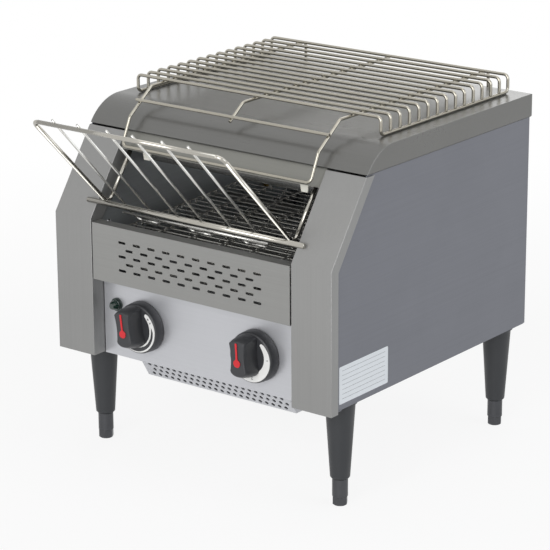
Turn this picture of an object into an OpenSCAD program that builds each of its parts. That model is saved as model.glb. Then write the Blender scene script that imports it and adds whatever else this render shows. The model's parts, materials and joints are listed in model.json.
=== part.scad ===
// Countertop conveyor toaster: sheet-metal housing, wire belt, two wire racks.
// X is the width, Y runs from the loading side to the rear, Z is up from the counter.

/* [Body] */
// Width over the two front pillars
body_w = 368; // [330:1:450]
// Depth from the pillar faces to the rear of the lid
body_d = 365; // [345:1:440]
// Height of the lid above the counter
body_h = 378; // [370:1:456]
// Thickness of the housing sheet
sheet = 1.2; // [0.8:0.1:1.6]
// Gap between sheets that lie in one another
sheet_gap = 0.4; // [0.2:0.1:0.6]
// Height of the base pan above the counter
leg_h = 116; // [96:1:140]
// Angle of the sloped front
slope_angle = 55.3; // [52:0.1:60]
// Height of the sloped front
slope_h = 86; // [78:1:96]

/* [Pillars and lid] */
// Width of each front pillar
pillar_w = 50.6; // [44:0.2:62]
// Depth of the pillar's outer strip
pillar_strip = 12; // [8:0.5:14]
// Depth of the pillar's inner return
pillar_return = 18; // [14:0.5:19]
// Radius of the lid's front
lid_r = 57; // [50:1:68]
// Depth of the lid's side flanges
lid_drop = 25; // [20:1:30]

/* [Front] */
// Height of the slotted heat shield
shield_h = 63; // [54:1:64]
// Length of a slot in the heat shield
slot_l = 10.3; // [8:0.1:12]
// Height of a slot
slot_w = 2.8; // [2:0.1:3.4]
// Spacing of the slots along a row
slot_pitch = 20.1; // [19:0.1:22]
// Spacing of the rows
slot_row = 7.73; // [6:0.01:8.5]
// How far the control panel stands behind the pillar faces
panel_y = 18; // [17:0.5:19]

/* [Controls] */
// Diameter of a knob
knob_d = 56; // [44:1:58]
// Height of a knob's skirt
skirt_h = 13; // [9:0.5:15]
// Height of the grip above the skirt
grip_h = 21.5; // [15:0.5:25]
// Width of the grip
grip_w = 22; // [14:0.5:24]
// Distance of each knob's axis from the edge of the front opening
knob_inset = 56.4; // [45:0.1:62]
// Height of the knobs above the base pan
knob_up = 38; // [31:0.5:50]
// Diameter of the control spindles
spindle_d = 6; // [5:0.1:8]
// Diameter of the lamp lens
lamp_d = 12; // [9:0.5:13]

/* [Belt] */
// Pitch of the belt's strands
belt_pitch = 11.4; // [10.8:0.1:12]
// Diameter of the belt wire
belt_wire = 2; // [1.6:0.1:2.2]
// Rise of the belt towards the rear
belt_tilt = 2.3; // [0:0.1:3]
// Diameter of the belt shafts
shaft_d = 10; // [8:0.5:12]
// Running clearance of shafts in their bushes, on the radius
run_fit = 0.05; // [0.02:0.01:0.1]

/* [Heating] */
// Diameter of a heater tube
heater_d = 10; // [8:0.5:12]
// Height of the toast tunnel above the belt's shafts at the front
tunnel_h = 83.5; // [78:0.5:86]

/* [Supports] */
// Diameter of a leg at its top
leg_d = 32; // [28:1:36]
// Diameter of a leg at its bottom
leg_tip_d = 21; // [19:0.5:24]
// Height of the levelling foot at its shortest
foot_h = 29.7; // [22:0.1:36]
// Diameter of the levelling foot
foot_d = 16.6; // [15:0.1:18]
// Width across flats of the foot's hexagon
foot_hex = 14.5; // [12:0.5:16]

/* [Racks] */
// Length of the loading rack along its wires
load_len = 160; // [145:1:175]
// Diameter of the loading rack's frame wire
load_frame_d = 5; // [4:0.5:5.5]
// Diameter of the loading rack's inner wires
load_wire_d = 3; // [2.5:0.5:3.5]
// Diameter of the loading rack's base bar
load_bar_d = 6; // [5:0.5:6.5]
// Diameter of the warming rack's wire
warm_d = 3.5; // [3:0.1:4]
// Height of the warming rack's cross wires above the lid
warm_h = 20.5; // [17:0.1:24]
// Number of cross wires in the warming rack
warm_count = 15; // [11:1:17]

/* [Hidden] */
$fn = 72;

// Colours of the finishes
STEEL = "#8f8f8c";
BRIGHT = "#bebec1";
DARK_STEEL = "#6e6e6b";
CHROME = "#c9c9cc";
WIRE = "#aaa89b";
BLACK = "#323336";
LEG = "#3a3c3f";
RED = "#cd1e28";
GREEN = "#12463a";
WHITE = "#e8e6de";
BRASS = "#b08d4a";
COPPER_BOARD = "#1f5b34";

// General values
seat = 0.1;                       // gap between pieces that rest on each other
clear = 0.3;                      // gap between pieces that move past each other
lap = 0.3;                        // how far a straight wire reaches into a bend
bend_trim = 0.98;                 // bends are this much thinner, so they meet no straight tangentially

// Housing
half_w = body_w / 2;
lid_z = body_h - lid_drop;
bend_h = lid_z - slope_h;
open_x = half_w - pillar_w;
side_x = half_w - sheet - 0.2;
side_inset = sheet + sheet_gap;
pan_x = half_w - 2 * sheet - sheet_gap;
pan_top = leg_h + sheet;
pan_front = panel_y + sheet + sheet_gap;
rear_y = body_d - side_inset + 0.2;
inner_rear = rear_y - sheet - 0.2;
pillar_top = lid_z - 1.7;
pillar_foot = leg_h - 2.3;
tab_z = pillar_foot + sheet;
flange = 12;
pan_lip = 14;

// Chamber
liner_x = open_x + 4.6;
liner_inset = 8;
liner_rear = inner_rear - sheet - clear;
chamber_z = bend_h - 72;
chamber_x = liner_x - sheet_gap;
chamber_front = panel_y + 2;
reflector_z = body_h - 40;
hole_play = 0.5;

// Belt: u runs along the belt from the idler shaft, v is square to it
teeth = 10;
belt_r = belt_pitch / (2 * sin(180 / teeth));
idler_y = 26;
idler_z = bend_h - 38.5;
rear_room = 51.2;
run_links = floor((inner_rear - rear_room - idler_y) / (belt_pitch * cos(belt_tilt)));
run_l = run_links * belt_pitch;
drive_y = idler_y + run_l * cos(belt_tilt);
drive_z = idler_z + run_l * sin(belt_tilt);
strands = 2 * run_links + teeth;
belt_x = liner_x - 13;
hook_r = belt_wire + 0.2;
hook_turn = 200;
column_x = 42;
sprocket_x = [-80, 0, 80];
sprocket_tip = belt_r - belt_wire / 2 - 0.35;
bush_d = shaft_d + 6;
upper_z = idler_z + tunnel_h;
heater_hole = heater_d + 2 * hole_play;
upper_y = [110, 180, 250];
lower_share = [0.25, 0.5, 0.75];
cap_d = heater_d + 5;
cap_x = liner_x + sheet + 0.2;
cap_l = 15.4;

// Drive
chain_pitch = 6.35;
wheel_teeth = 18;
motor_teeth = 9;
wheel_r = chain_pitch / (2 * sin(180 / wheel_teeth));
motor_r = chain_pitch / (2 * sin(180 / motor_teeth));
chain_roller = 3.3;
chain_x = liner_x + 11.5;
motor_y = drive_y - 26;
motor_z = drive_z - 85;
run_vec = [motor_y - drive_y, motor_z - drive_z];
run_gap = norm(run_vec);
run_dir = atan2(run_vec.y, run_vec.x);
wrap = asin((wheel_r - motor_r) / run_gap);
straight = run_gap * cos(wrap);
wheel_arc = wheel_r * (180 + 2 * wrap) * PI / 180;
motor_arc = motor_r * (180 - 2 * wrap) * PI / 180;
chain_len = wheel_arc + motor_arc + 2 * straight;
links = 2 * round(chain_len / chain_pitch / 2);
wheel_c = [drive_y, drive_z];
motor_c = [motor_y, motor_z];

// Crumb tray and chute
tray_z = chamber_z + sheet + clear;
tray_h = 8.5;
tray_x = belt_x - 1;
slot_top = tray_z + tray_h + 3.2;
chute_y = drive_y + belt_r + 7;
chute_z = drive_z - 1;

// Controls
knob_x = open_x - knob_inset;
knob_z = leg_h + knob_up;
lamp_x = -(open_x - 18.9);
lamp_z = knob_z + 17;
knob_back = panel_y - 0.6;
grip_y = knob_back - skirt_h - grip_h;
spindle_hole = spindle_d + 4;
left_lean = 7;
right_lean = 3;

// Cable gland
gland_z = leg_h + 34;
gland_hole = 16;

// Legs
leg_x = half_w - 23;
leg_front = 46.4;
leg_rear = body_d - 26;
leg_flange = 3;
stem_d = 10;
stem_l = 36;

// Fan and intake
fan_s = 92;
fan_h = 25;
fan_x = 14;
fan_y = 100;
fan_z = pan_top + 0.1;
fan_bore = 86;
intake_x0 = -86;
intake_x1 = 114;
intake_y = 21.5;
intake_z = leg_h - 23;
intake_run = 12.5;
intake_back = 150;

// Loading rack
rack_r = 10;
bar_off = load_bar_d / 2 + clear;
bar_sum = bend_h + 26.5;
leg_sum = bar_sum + (load_bar_d + load_frame_d - 2) / 2 * sqrt(2);
hairpin_sum = bar_sum + ((load_bar_d + load_wire_d) / 2 + seat) * sqrt(2);
tip_sum = leg_sum + ((load_frame_d + load_wire_d) / 2 + seat) * sqrt(2);
baffle_inset = 3;
baffle_drop = 19;
lip_l = 14;
arm_inset = baffle_inset + sheet + clear + load_frame_d / 2;
arm_z = lid_z - 16;
bar_z = (bar_sum + bend_h / tan(slope_angle) + bar_off / sin(slope_angle)) / (1 + 1 / tan(slope_angle));
bend_low = (leg_sum + bend_h / tan(slope_angle) - arm_inset / sin(slope_angle)) / (1 + 1 / tan(slope_angle));
rack_x = open_x - 9.9;
hairpin_x = [[-97.5, -64], [-25.5, 8], [46, 79.5]];
hairpin_z = bar_z - 20;
rod_z = bar_z - 10.5;
rack_top_z = bend_low + load_len / sqrt(2);

// Warming rack
warm_x = half_w - 22.5;
warm_z = body_h + warm_h;
rail_z = body_h + warm_d / 2 + 0.15;
warm_front = 114;
warm_rear = body_d - 15;
warm_pitch = (warm_rear - warm_front) / (warm_count - 1);
long_z = warm_z - warm_d - seat;
long_x = warm_x - 36.5;
warm_off = 5;
fall_from = [warm_front - 20.5, long_z];
fall_to = [57.5, body_h - 9.5];
rod_low = bend_h + 72;
tail_y = body_d + warm_d / 2 + 0.6;
tail_z = body_h - 5;

// The whole object, for its origin
front_reach = leg_sum - rack_top_z - load_frame_d / 2;
rear_reach = body_d + 13;
shift_y = -(front_reach + rear_reach) / 2;

// Depth of the housing's front profile, moved inwards by inset
function front_y(z, inset) =
    max(inset, (z - bend_h) / tan(slope_angle) + inset / sin(slope_angle));
// Height of the profile's bend, moved inwards by inset
function bend_at(inset) = bend_h - inset * (1 - sin(slope_angle)) / cos(slope_angle);
// Centre of the lid's front arc
lid_cz = body_h - lid_r;
lid_cy = front_y(lid_z, 0) + sqrt(lid_r * lid_r - (lid_r - lid_drop) * (lid_r - lid_drop));

// Unit vector along v
function unit(v) = v / norm(v);
// Angle by which a wire turns at b
function turn_at(a, b, c) = acos(unit(b - a) * unit(c - b));
// How much of each straight the bend of radius r at b takes
function bend_cut(a, b, c, r) = r * tan(turn_at(a, b, c) / 2);

// Draws a profile of (Y, Z) points between two places along X
module along_x(x0, x1) {
    translate([x0, 0, 0]) rotate([90, 0, 90]) linear_extrude(x1 - x0) children();
}

// Block from its low to its high corner
module block(low, high) {
    translate(low) cube(high - low);
}

// Round bar along X
module bar_x(x0, x1, y, z, d) {
    translate([x0, y, z]) rotate([0, 90, 0]) cylinder(h = x1 - x0, d = d);
}

// Round bar along Y
module bar_y(y0, y1, x, z, d) {
    translate([x, y0, z]) rotate([-90, 0, 0]) cylinder(h = y1 - y0, d = d);
}

// Tube along X
module tube_x(x0, x1, y, z, d, bore) {
    difference() {
        bar_x(x0, x1, y, z, d);
        bar_x(x0 - 1, x1 + 1, y, z, bore);
    }
}

// The children and their mirror image
module both_sides() {
    children();
    mirror([1, 0, 0]) children();
}

// Children in the belt's own frame: X, u, v
module on_belt() {
    translate([0, idler_y, idler_z]) rotate([belt_tilt, 0, 0]) children();
}

// Straight stretch of wire from a to b, shortened at each end
module wire_straight(a, b, cut_a, cut_b, d) {
    u = unit(b - a);
    length = norm(b - a) - cut_a - cut_b;
    translate(a + u * cut_a)
        rotate([0, acos(u.z), atan2(u.y, u.x)])
        cylinder(h = length, d = d);
}

// Bend of radius r at b
module wire_bend(a, b, c, d, r) {
    u = unit(b - a);
    v = unit(c - b);
    n = unit(v - u * (u * v));
    o = b - u * bend_cut(a, b, c, r) + n * r;
    w = cross(-n, u);
    multmatrix([[-n.x, u.x, w.x, o.x], [-n.y, u.y, w.y, o.y], [-n.z, u.z, w.z, o.z], [0, 0, 0, 1]])
        rotate_extrude(angle = turn_at(a, b, c))
        translate([r, 0])
        circle(d = d * bend_trim);
}

// Round wire of diameter d through the points, with bends of radius r
module wire(points, d, r) {
    last = len(points) - 1;
    for (i = [0 : last - 1]) {
        cut_a = i == 0 ? 0 : bend_cut(points[i - 1], points[i], points[i + 1], r) - lap;
        cut_b = i == last - 1 ? 0 : bend_cut(points[i], points[i + 1], points[i + 2], r) - lap;
        wire_straight(points[i], points[i + 1], cut_a, cut_b, d);
    }
    for (i = [1 : 1 : last - 1]) wire_bend(points[i - 1], points[i], points[i + 1], d, r);
}

// Front profile between two insets and two heights, as (Y, Z)
module front_band(inset_0, inset_1, z0, z1) {
    polygon([
        [inset_0, z0], [inset_0, bend_at(inset_0)], [front_y(z1, inset_0), z1],
        [front_y(z1, inset_1), z1], [inset_1, bend_at(inset_1)], [inset_1, z0]
    ]);
}

// Outline of the housing's side, moved inwards by inset, between two heights
module side_outline(inset, z0, z1, back) {
    intersection() {
        translate([0, z0]) square([back, z1 - z0]);
        union() {
            polygon([
                [inset, z0], [inset, bend_at(inset)], [front_y(lid_z, inset), lid_z],
                [back, lid_z], [back, z0]
            ]);
            lid_outline(inset, back);
        }
    }
}

// Section of the lid above its edge, moved inwards by inset
module lid_outline(inset, back) {
    intersection() {
        translate([0, lid_z - 0.5]) square([back, lid_drop + 0.5]);
        union() {
            translate([lid_cy, lid_cz]) circle(r = lid_r - inset);
            translate([lid_cy, lid_z - 1]) square([back - lid_cy, lid_drop + 1 - inset]);
        }
    }
}

module base_pan() color(STEEL) difference() {
    union() {
        block([-pan_x, pan_front, leg_h], [pan_x, inner_rear, pan_top]);
        block([-open_x + 1.4, pan_front, leg_h], [open_x - 1.4, pan_front + sheet, leg_h + pan_lip]);
        block([-pan_x, inner_rear - sheet, leg_h], [pan_x, inner_rear, leg_h + pan_lip]);
        both_sides() {
            block([open_x + 4, sheet + sheet_gap, tab_z], [pan_x, pan_front + sheet, tab_z + sheet]);
            block([open_x + 4, pan_front, tab_z], [pan_x, pan_front + sheet, pan_top]);
        }
    }
    translate([fan_x, fan_y, leg_h - 1]) cylinder(h = 4, d = fan_bore);
    for (y = [leg_front, leg_rear], x = [-leg_x, leg_x])
        translate([x, y, leg_h - 1]) cylinder(h = 4, d = 8.6);
    for (i = [0 : 7]) translate([-100 + i * 9, 210, leg_h - 1]) slot_hole(40, 4, 4);
    for (x = [-1, 1], y = [-1, 1])
        translate([fan_x + x * 41.25, fan_y + y * 41.25, leg_h - 1]) cylinder(h = 4, d = 4.3);
}

// Upright slot with round ends, along Y
module slot_hole(length, width, height) {
    linear_extrude(height) union() {
        translate([-width / 2, 0]) square([width, length]);
        circle(d = width);
        translate([0, length]) circle(d = width);
    }
}

module right_side_panel() color(STEEL) {
    along_x(side_x - sheet, side_x) side_outline(side_inset, pan_top + 0.2, body_h - side_inset, inner_rear);
    block([side_x - flange, 30, pan_top + 0.2], [side_x, inner_rear - 30, pan_top + 0.2 + sheet]);
    block([side_x - flange, inner_rear - sheet, pan_top + pan_lip], [side_x, inner_rear, lid_z - 4]);
}

module left_side_panel() mirror([1, 0, 0]) right_side_panel();

module right_pillar() color(STEEL) {
    along_x(open_x, half_w) front_band(0, sheet, pillar_foot, pillar_top);
    along_x(half_w - sheet, half_w) front_band(0, pillar_strip, pillar_foot, pillar_top);
    along_x(open_x, open_x + sheet) front_band(0, pillar_return, pillar_foot, pillar_top);
    block([open_x + 4, 0, pillar_foot], [half_w, pillar_strip, pillar_foot + sheet]);
}

module left_pillar() mirror([1, 0, 0]) right_pillar();

module lid() color(DARK_STEEL) difference() {
    along_x(-half_w, half_w) intersection() {
        translate([0, lid_z]) square([body_d, lid_drop]);
        lid_outline(0, body_d);
    }
    along_x(-half_w + sheet, half_w - sheet) lid_outline(sheet, body_d - sheet);
}

module rear_panel() color(STEEL) difference() {
    block([-pan_x, rear_y - sheet, pan_top + 0.2], [pan_x, rear_y, body_h - 8]);
    block([-belt_x - 1, rear_y - 3, idler_z - 15.5], [belt_x + 1, rear_y + 1, idler_z + 63.5]);
    block([-tray_x - 2, rear_y - 3, chamber_z + 0.8], [tray_x + 2, rear_y + 1, slot_top]);
    for (i = [0 : 11], row = [0, 1])
        translate([-66 + i * 12, rear_y + 1, pan_top + 14 + row * 26]) rotate([90, 0, 0]) slot_hole(16, 4, 4);
    bar_y(rear_y - 3, rear_y + 1, -(half_w - 24), gland_z, gland_hole);
}

module hood_baffle() color(STEEL) {
    inset = baffle_inset;
    x = open_x - 0.8;
    z0 = lid_z - baffle_drop;
    lip_x = rack_x - load_frame_d / 2 - 7;
    lip_y = front_y(z0, inset);
    along_x(-x, x) front_band_slope(inset, inset + sheet, z0, lid_z - 1);
    block([-lip_x, lip_y, z0], [lip_x, lip_y + lip_l, z0 + sheet]);
    block([-lip_x, lip_y + lip_l - sheet, z0], [lip_x, lip_y + lip_l, z0 + 5]);
}

// Part of the sloped front between two insets and two heights
module front_band_slope(inset_0, inset_1, z0, z1) {
    polygon([
        [front_y(z0, inset_0), z0], [front_y(z1, inset_0), z1],
        [front_y(z1, inset_1), z1], [front_y(z0, inset_1), z0]
    ]);
}

module hood_clips() color(WHITE) {
    z0 = lid_z - baffle_drop;
    z1 = z0 - seat;
    y0 = front_y(z0, baffle_inset) + lip_l - sheet - 3;
    for (x = [-105, 105])
        translate([x, y0 + 2, z1]) rotate([90, 0, 0]) linear_extrude(2)
            polygon([[-6, 0], [6, 0], [4, -11], [-4, -11]]);
}

module heat_shield() color(STEEL) {
    x = open_x - 1.2 + sheet_gap;
    z1 = bend_h - 3;
    z0 = z1 - shield_h;
    top_row = z1 - 15.9;
    difference() {
        block([-x, 0, z0], [x, sheet, z1]);
        for (row = [0 : 4]) {
            odd = row % 2;
            count = 10 - odd;
            for (i = [0 : count - 1])
                translate([(i - (count - 1) / 2) * slot_pitch, sheet + 1, top_row - row * slot_row])
                    rotate([90, 0, 0]) flat_slot(slot_l, slot_w, sheet + 2);
        }
    }
    block([-x, 0, z1 - sheet], [x, 14, z1]);
    block([-x, 0, z0], [x, panel_y - 0.2, z0 + sheet]);
}

// Level slot with round ends, centred
module flat_slot(length, width, height) {
    linear_extrude(height) union() {
        square([length - width, width], center = true);
        for (s = [-1, 1]) translate([s * (length - width) / 2, 0]) circle(d = width);
    }
}

module control_panel() color(BRIGHT) difference() {
    block([-open_x + 0.4, panel_y, leg_h - 3], [open_x - 0.4, panel_y + sheet, bend_h - 64]);
    for (x = [-knob_x, knob_x]) bar_y(panel_y - 1, panel_y + 3, x, knob_z, spindle_hole);
    bar_y(panel_y - 1, panel_y + 3, lamp_x, lamp_z, lamp_d - 1);
}

module intake_grille() color(DARK_STEEL) {
    y1 = intake_y + intake_run;
    z1 = leg_h - 0.1;
    brow = leg_h - 2.5;
    face = [intake_run, brow - intake_z];
    rows = 3;
    hole_d = 4.6;
    hole_pitch = 8.5;
    tab = 10;
    holes = floor((intake_x1 - intake_x0 - 12) / hole_pitch);
    difference() {
        union() {
            difference() {
                along_x(intake_x0, intake_x1) polygon([
                    [intake_y, brow], [intake_y, z1], [intake_back + 12, z1],
                    [intake_back, intake_z], [y1, intake_z]
                ]);
                along_x(intake_x0 + sheet, intake_x1 - sheet) polygon([
                    [intake_y + sheet, brow + 0.5], [intake_y + sheet, z1 + 1], [intake_back + 10.8, z1 + 1],
                    [intake_back - 0.6, intake_z + sheet], [y1 + 0.6, intake_z + sheet]
                ]);
            }
            block([intake_x0 - tab, intake_y, z1 - sheet], [intake_x0 + sheet, intake_back, z1]);
            block([intake_x1 - sheet, intake_y, z1 - sheet], [intake_x1 + tab, intake_back, z1]);
        }
        for (row = [0 : rows - 1], i = [0 : holes - 1])
            translate([intake_x0 + 10 + (i + (row % 2) / 2) * hole_pitch, intake_y, brow])
                rotate([-atan2(face.y, face.x), 0, 0])
                translate([0, norm(face) * (0.2 + 0.3 * row), -3])
                cylinder(h = 6, d = hole_d);
    }
}

// Screw with a domed head, its shank pointing along -Z
module screw(d, length) {
    intersection() {
        translate([0, 0, -d * 0.9]) sphere(r = d * 1.45);
        cylinder(h = d, r = d);
    }
    translate([0, 0, -length]) cylinder(h = length + 0.2, d = d);
}

// Hexagonal nut with a bore
module nut(flats, bore, height) {
    difference() {
        cylinder(h = height, d = flats / cos(30), $fn = 6);
        translate([0, 0, -1]) cylinder(h = height + 2, d = bore);
    }
}

module housing_screws() color(CHROME) {
    translate([-liner_x + seat, 33, bend_h - 12]) rotate([0, 90, 0]) screw(3.6, seat);
    for (x = [-1, 1], z = [pan_top + 40, bend_h - 40, lid_z - 20])
        translate([x * (half_w - 9), rear_y + seat, z]) rotate([-90, 0, 0]) screw(3, seat);
    for (x = [intake_x0 - 5, intake_x1 + 5], y = [40, 130])
        translate([x, y, leg_h - 0.1 - sheet - seat]) rotate([180, 0, 0]) screw(3, seat);
    for (x = [-leg_x, leg_x], y = [leg_front, leg_rear])
        translate([x, y, pan_top + seat]) nut(13, 8.2, 5);
}

module left_liner() color(DARK_STEEL) difference() {
    union() {
        along_x(-liner_x - sheet, -liner_x) polygon([
            [liner_inset, pan_top + seat], [liner_inset, bend_at(liner_inset)],
            [front_y(lid_z - 3, liner_inset), lid_z - 3], [liner_rear, lid_z - 3], [liner_rear, pan_top + seat]
        ]);
        block([-liner_x - flange, 64, pan_top + seat], [-liner_x, inner_rear - 50, pan_top + seat + sheet]);
        block([-liner_x - flange, 80, lid_z - 3 - sheet], [-liner_x, liner_rear, lid_z - 3]);
    }
    liner_holes(-liner_x - sheet / 2);
}

module right_liner() color(DARK_STEEL) difference() {
    mirror([1, 0, 0]) left_liner();
    bar_x(liner_x - 1, liner_x + 2, motor_y, motor_z, 14);
}

// The holes that a liner has for heaters and bushes, centred at x
module liner_holes(x) {
    for (y = upper_y) bar_x(x - 2, x + 2, y, upper_z, heater_hole);
    on_belt() {
        for (share = lower_share) bar_x(x - 2, x + 2, run_l * share, 0, heater_hole);
        for (u = [0, run_l]) bar_x(x - 2, x + 2, u, 0, bush_d + 2 * run_fit);
    }
}

module chamber_floor() color(DARK_STEEL) {
    block([-chamber_x, chamber_front, chamber_z], [chamber_x, inner_rear - 0.5, chamber_z + sheet]);
    both_sides()
        block([tray_x + 4, chamber_front + 4, chamber_z], [tray_x + 5.2, inner_rear - 0.5, chamber_z + 9]);
}

module upper_reflector() color(BRIGHT) {
    y0 = 82;
    y1 = inner_rear - 30;
    fold = 12;
    brim = reflector_z - fold;
    along_x(-chamber_x, chamber_x) difference() {
        polygon([
            [y0, brim], [y0 + fold, reflector_z], [y1 - fold, reflector_z], [y1, brim],
            [y1, brim - 4], [y0, brim - 4]
        ]);
        polygon([
            [y0 + sheet, brim - 0.5], [y0 + fold + 0.5, reflector_z - sheet],
            [y1 - fold - 0.5, reflector_z - sheet], [y1 - sheet, brim - 0.5],
            [y1 - sheet, brim - 5], [y0 + sheet, brim - 5]
        ]);
    }
}

module upper_heaters() color("silver") {
    for (y = upper_y) tube_x(-cap_x - 7, cap_x + 7, y, upper_z, heater_d, heater_d - 2.4);
}

module lower_heaters() color("silver") on_belt() {
    for (share = lower_share) tube_x(-cap_x - 7, cap_x + 7, run_l * share, 0, heater_d, heater_d - 2.4);
}

// Ceramic cap over a heater's right end, and the clip foot that meets the liner
module end_cap(y, z) {
    difference() {
        union() {
            bar_x(cap_x, cap_x + cap_l, y, z, cap_d);
            bar_x(cap_x, cap_x + 3, y, z, cap_d + 4);
        }
        bar_x(cap_x - 1, cap_x + 7.2, y, z, heater_d + 0.4);
        bar_x(cap_x + 6, cap_x + cap_l + 1, y, z, 4);
    }
}

module heater_end_caps() color(WHITE) both_sides() {
    for (y = upper_y) end_cap(y, upper_z);
    on_belt() for (share = lower_share) end_cap(run_l * share, 0);
}

module crumb_tray() color(DARK_STEEL) {
    front = chamber_front + 4;
    back = rear_y + seat + 0.4;
    grip_x = 40;
    difference() {
        block([-tray_x, front, tray_z], [tray_x, back + sheet, tray_z + tray_h]);
        block([-tray_x + sheet, front + sheet, tray_z + sheet], [tray_x - sheet, back, tray_z + tray_h + 1]);
    }
    difference() {
        block([-tray_x - 6, back, chamber_z - 1], [tray_x + 6, back + sheet, slot_top + 1.4]);
        block([-grip_x, back - 1, tray_z + 4], [grip_x, back + 2, slot_top + 2]);
    }
    block([-grip_x, back, tray_z + 2.8], [grip_x, rear_reach - 1, tray_z + 4]);
    block([-grip_x, rear_reach - 2.2, tray_z - 3], [grip_x, rear_reach, tray_z + 4]);
}

module toast_chute() color(BRIGHT) {
    lip_y = body_d + 7.5;
    drop = 0.77;
    lip_z = chute_z - (lip_y - chute_y) * drop;
    along_x(-chamber_x, chamber_x) intersection() {
        chute_profile(lip_y, lip_z);
        square([inner_rear - 1, body_h]);
    }
    along_x(-belt_x + 1, belt_x - 1) chute_profile(lip_y, lip_z);
}

// Folded sheet of the chute: a slope that ends in a stop
module chute_profile(lip_y, lip_z) {
    polygon([
        [chute_y, chute_z], [lip_y - 5, lip_z + 1], [lip_y, lip_z + 3], [lip_y, lip_z + 11],
        [lip_y - sheet, lip_z + 11], [lip_y - sheet, lip_z + 4.4], [lip_y - 5.4, lip_z + 2.6],
        [chute_y, chute_z + 1.6]
    ]);
}

// Strand k lies k pitches along the belt, clockwise from the idler's top.
// angle_of gives the outward direction there, place_of the wire's centre as [u, v].
function angle_of(k) =
    k < run_links ? 90 :
    k < run_links + teeth / 2 ? 90 - 360 / teeth * (k - run_links) :
    k < 2 * run_links + teeth / 2 ? -90 :
    -90 - 360 / teeth * (k - 2 * run_links - teeth / 2);
function along_of(k) =
    k < run_links ? k * belt_pitch :
    k < run_links + teeth / 2 ? run_l :
    k < 2 * run_links + teeth / 2 ? run_l - (k - run_links - teeth / 2) * belt_pitch :
    0;
function place_of(k) = [along_of(k) + belt_r * cos(angle_of(k)), belt_r * sin(angle_of(k))];

// Section of a hook in the (u, v) plane: a link from p that curls round the strand at q
module hook_section(p, q) {
    back = atan2(p.y - q.y, p.x - q.x);
    start = back + acos(hook_r / norm(p - q));
    touch = q + hook_r * [cos(start), sin(start)];
    along = atan2(touch.y - p.y, touch.x - p.x);
    translate(p) rotate(along) translate([0, -belt_wire / 2]) square([norm(touch - p) + 0.1, belt_wire]);
    translate(q) rotate(start) difference() {
        circle(r = hook_r + belt_wire / 2);
        circle(r = hook_r - belt_wire / 2);
        polygon(concat([[0, 0]], [for (a = [hook_turn : 40 : 360]) 3 * hook_r * [cos(a), sin(a)]]));
    }
}

// One strand: a rod with links that run back to strand k - 1 and hook round it
module strand(k) {
    p = place_of(k);
    q = place_of((k + strands - 1) % strands);
    step_in = k % 2 == 0 ? 0 : belt_wire + 1;
    bar_x(-belt_x, belt_x, p.x, p.y, belt_wire);
    for (x = [step_in - belt_x, step_in - column_x, column_x + step_in, belt_x - step_in - belt_wire])
        along_x(x, x + belt_wire) hook_section(p, q);
}

module conveyor_belt() color(WIRE) on_belt() {
    for (k = [0 : strands - 1]) strand(k);
}

// Wheel that carries the belt at x: a notched disc between two plain rims on a hub
module belt_wheel(x, u) {
    hub = shaft_d + 8;
    disc = 1.5;
    rim = 2;
    difference() {
        union() {
            difference() {
                bar_x(x - disc, x + disc, u, 0, 2 * sprocket_tip);
                for (i = [0 : teeth - 1]) {
                    a = 360 / teeth * (i + 0.5);
                    bar_x(x - rim, x + rim, u + (sprocket_tip + 0.6) * cos(a), (sprocket_tip + 0.6) * sin(a), 6);
                }
            }
            for (s = [-disc - rim, disc]) bar_x(x + s, x + s + rim, u, 0, 2 * sprocket_tip);
            bar_x(x - 8, x + 8, u, 0, hub);
        }
        bar_x(x - 9, x + 9, u, 0, shaft_d + 0.06);
    }
}

module drive_sprockets() color(DARK_STEEL) on_belt() {
    for (x = sprocket_x) belt_wheel(x, run_l);
}

module idler_sprockets() color(DARK_STEEL) on_belt() {
    for (x = sprocket_x) belt_wheel(x, 0);
}

module drive_shaft() color(CHROME) on_belt() {
    bar_x(-liner_x - 4, chain_x + 5, run_l, 0, shaft_d);
}

module idler_shaft() color(CHROME) on_belt() {
    bar_x(-liner_x - 4, liner_x + 4, 0, 0, shaft_d);
}

// Flanged bush in each liner
module bushes(u) {
    both_sides() difference() {
        union() {
            bar_x(liner_x - 3, liner_x + 3.4, u, 0, bush_d);
            bar_x(liner_x + sheet + seat, liner_x + 3.4, u, 0, bush_d + 6);
        }
        bar_x(liner_x - 4, liner_x + 5, u, 0, shaft_d + 2 * run_fit);
    }
}

module drive_bushes() color(BRASS) on_belt() bushes(run_l);

module idler_bushes() color(BRASS) on_belt() bushes(0);

// Toothed disc along X, its tips clear of the chain's rollers
module chain_disc(x0, x1, count, radius) {
    tip = radius - chain_roller / 2 - clear;
    difference() {
        bar_x(x0, x1, 0, 0, 2 * tip);
        for (i = [0 : count - 1]) {
            a = 360 / count * (i + 0.5);
            bar_x(x0 - 1, x1 + 1, tip * cos(a), tip * sin(a), 2);
        }
    }
}

module chain_wheel() color(DARK_STEEL) translate([0, drive_y, drive_z]) difference() {
    union() {
        chain_disc(chain_x - 1, chain_x + 1, wheel_teeth, wheel_r);
        bar_x(chain_x - 6, chain_x + 1, 0, 0, shaft_d + 8);
    }
    bar_x(chain_x - 8, chain_x + 3, 0, 0, shaft_d + 0.06);
}

module motor_sprocket() color(DARK_STEEL) translate([0, motor_y, motor_z]) {
    chain_disc(chain_x - 1, chain_x + 1, motor_teeth, motor_r);
    bar_x(liner_x - 11, chain_x + 3, 0, 0, 7);
    bar_x(chain_x - 6, chain_x - 0.5, 0, 0, 11);
}

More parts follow.
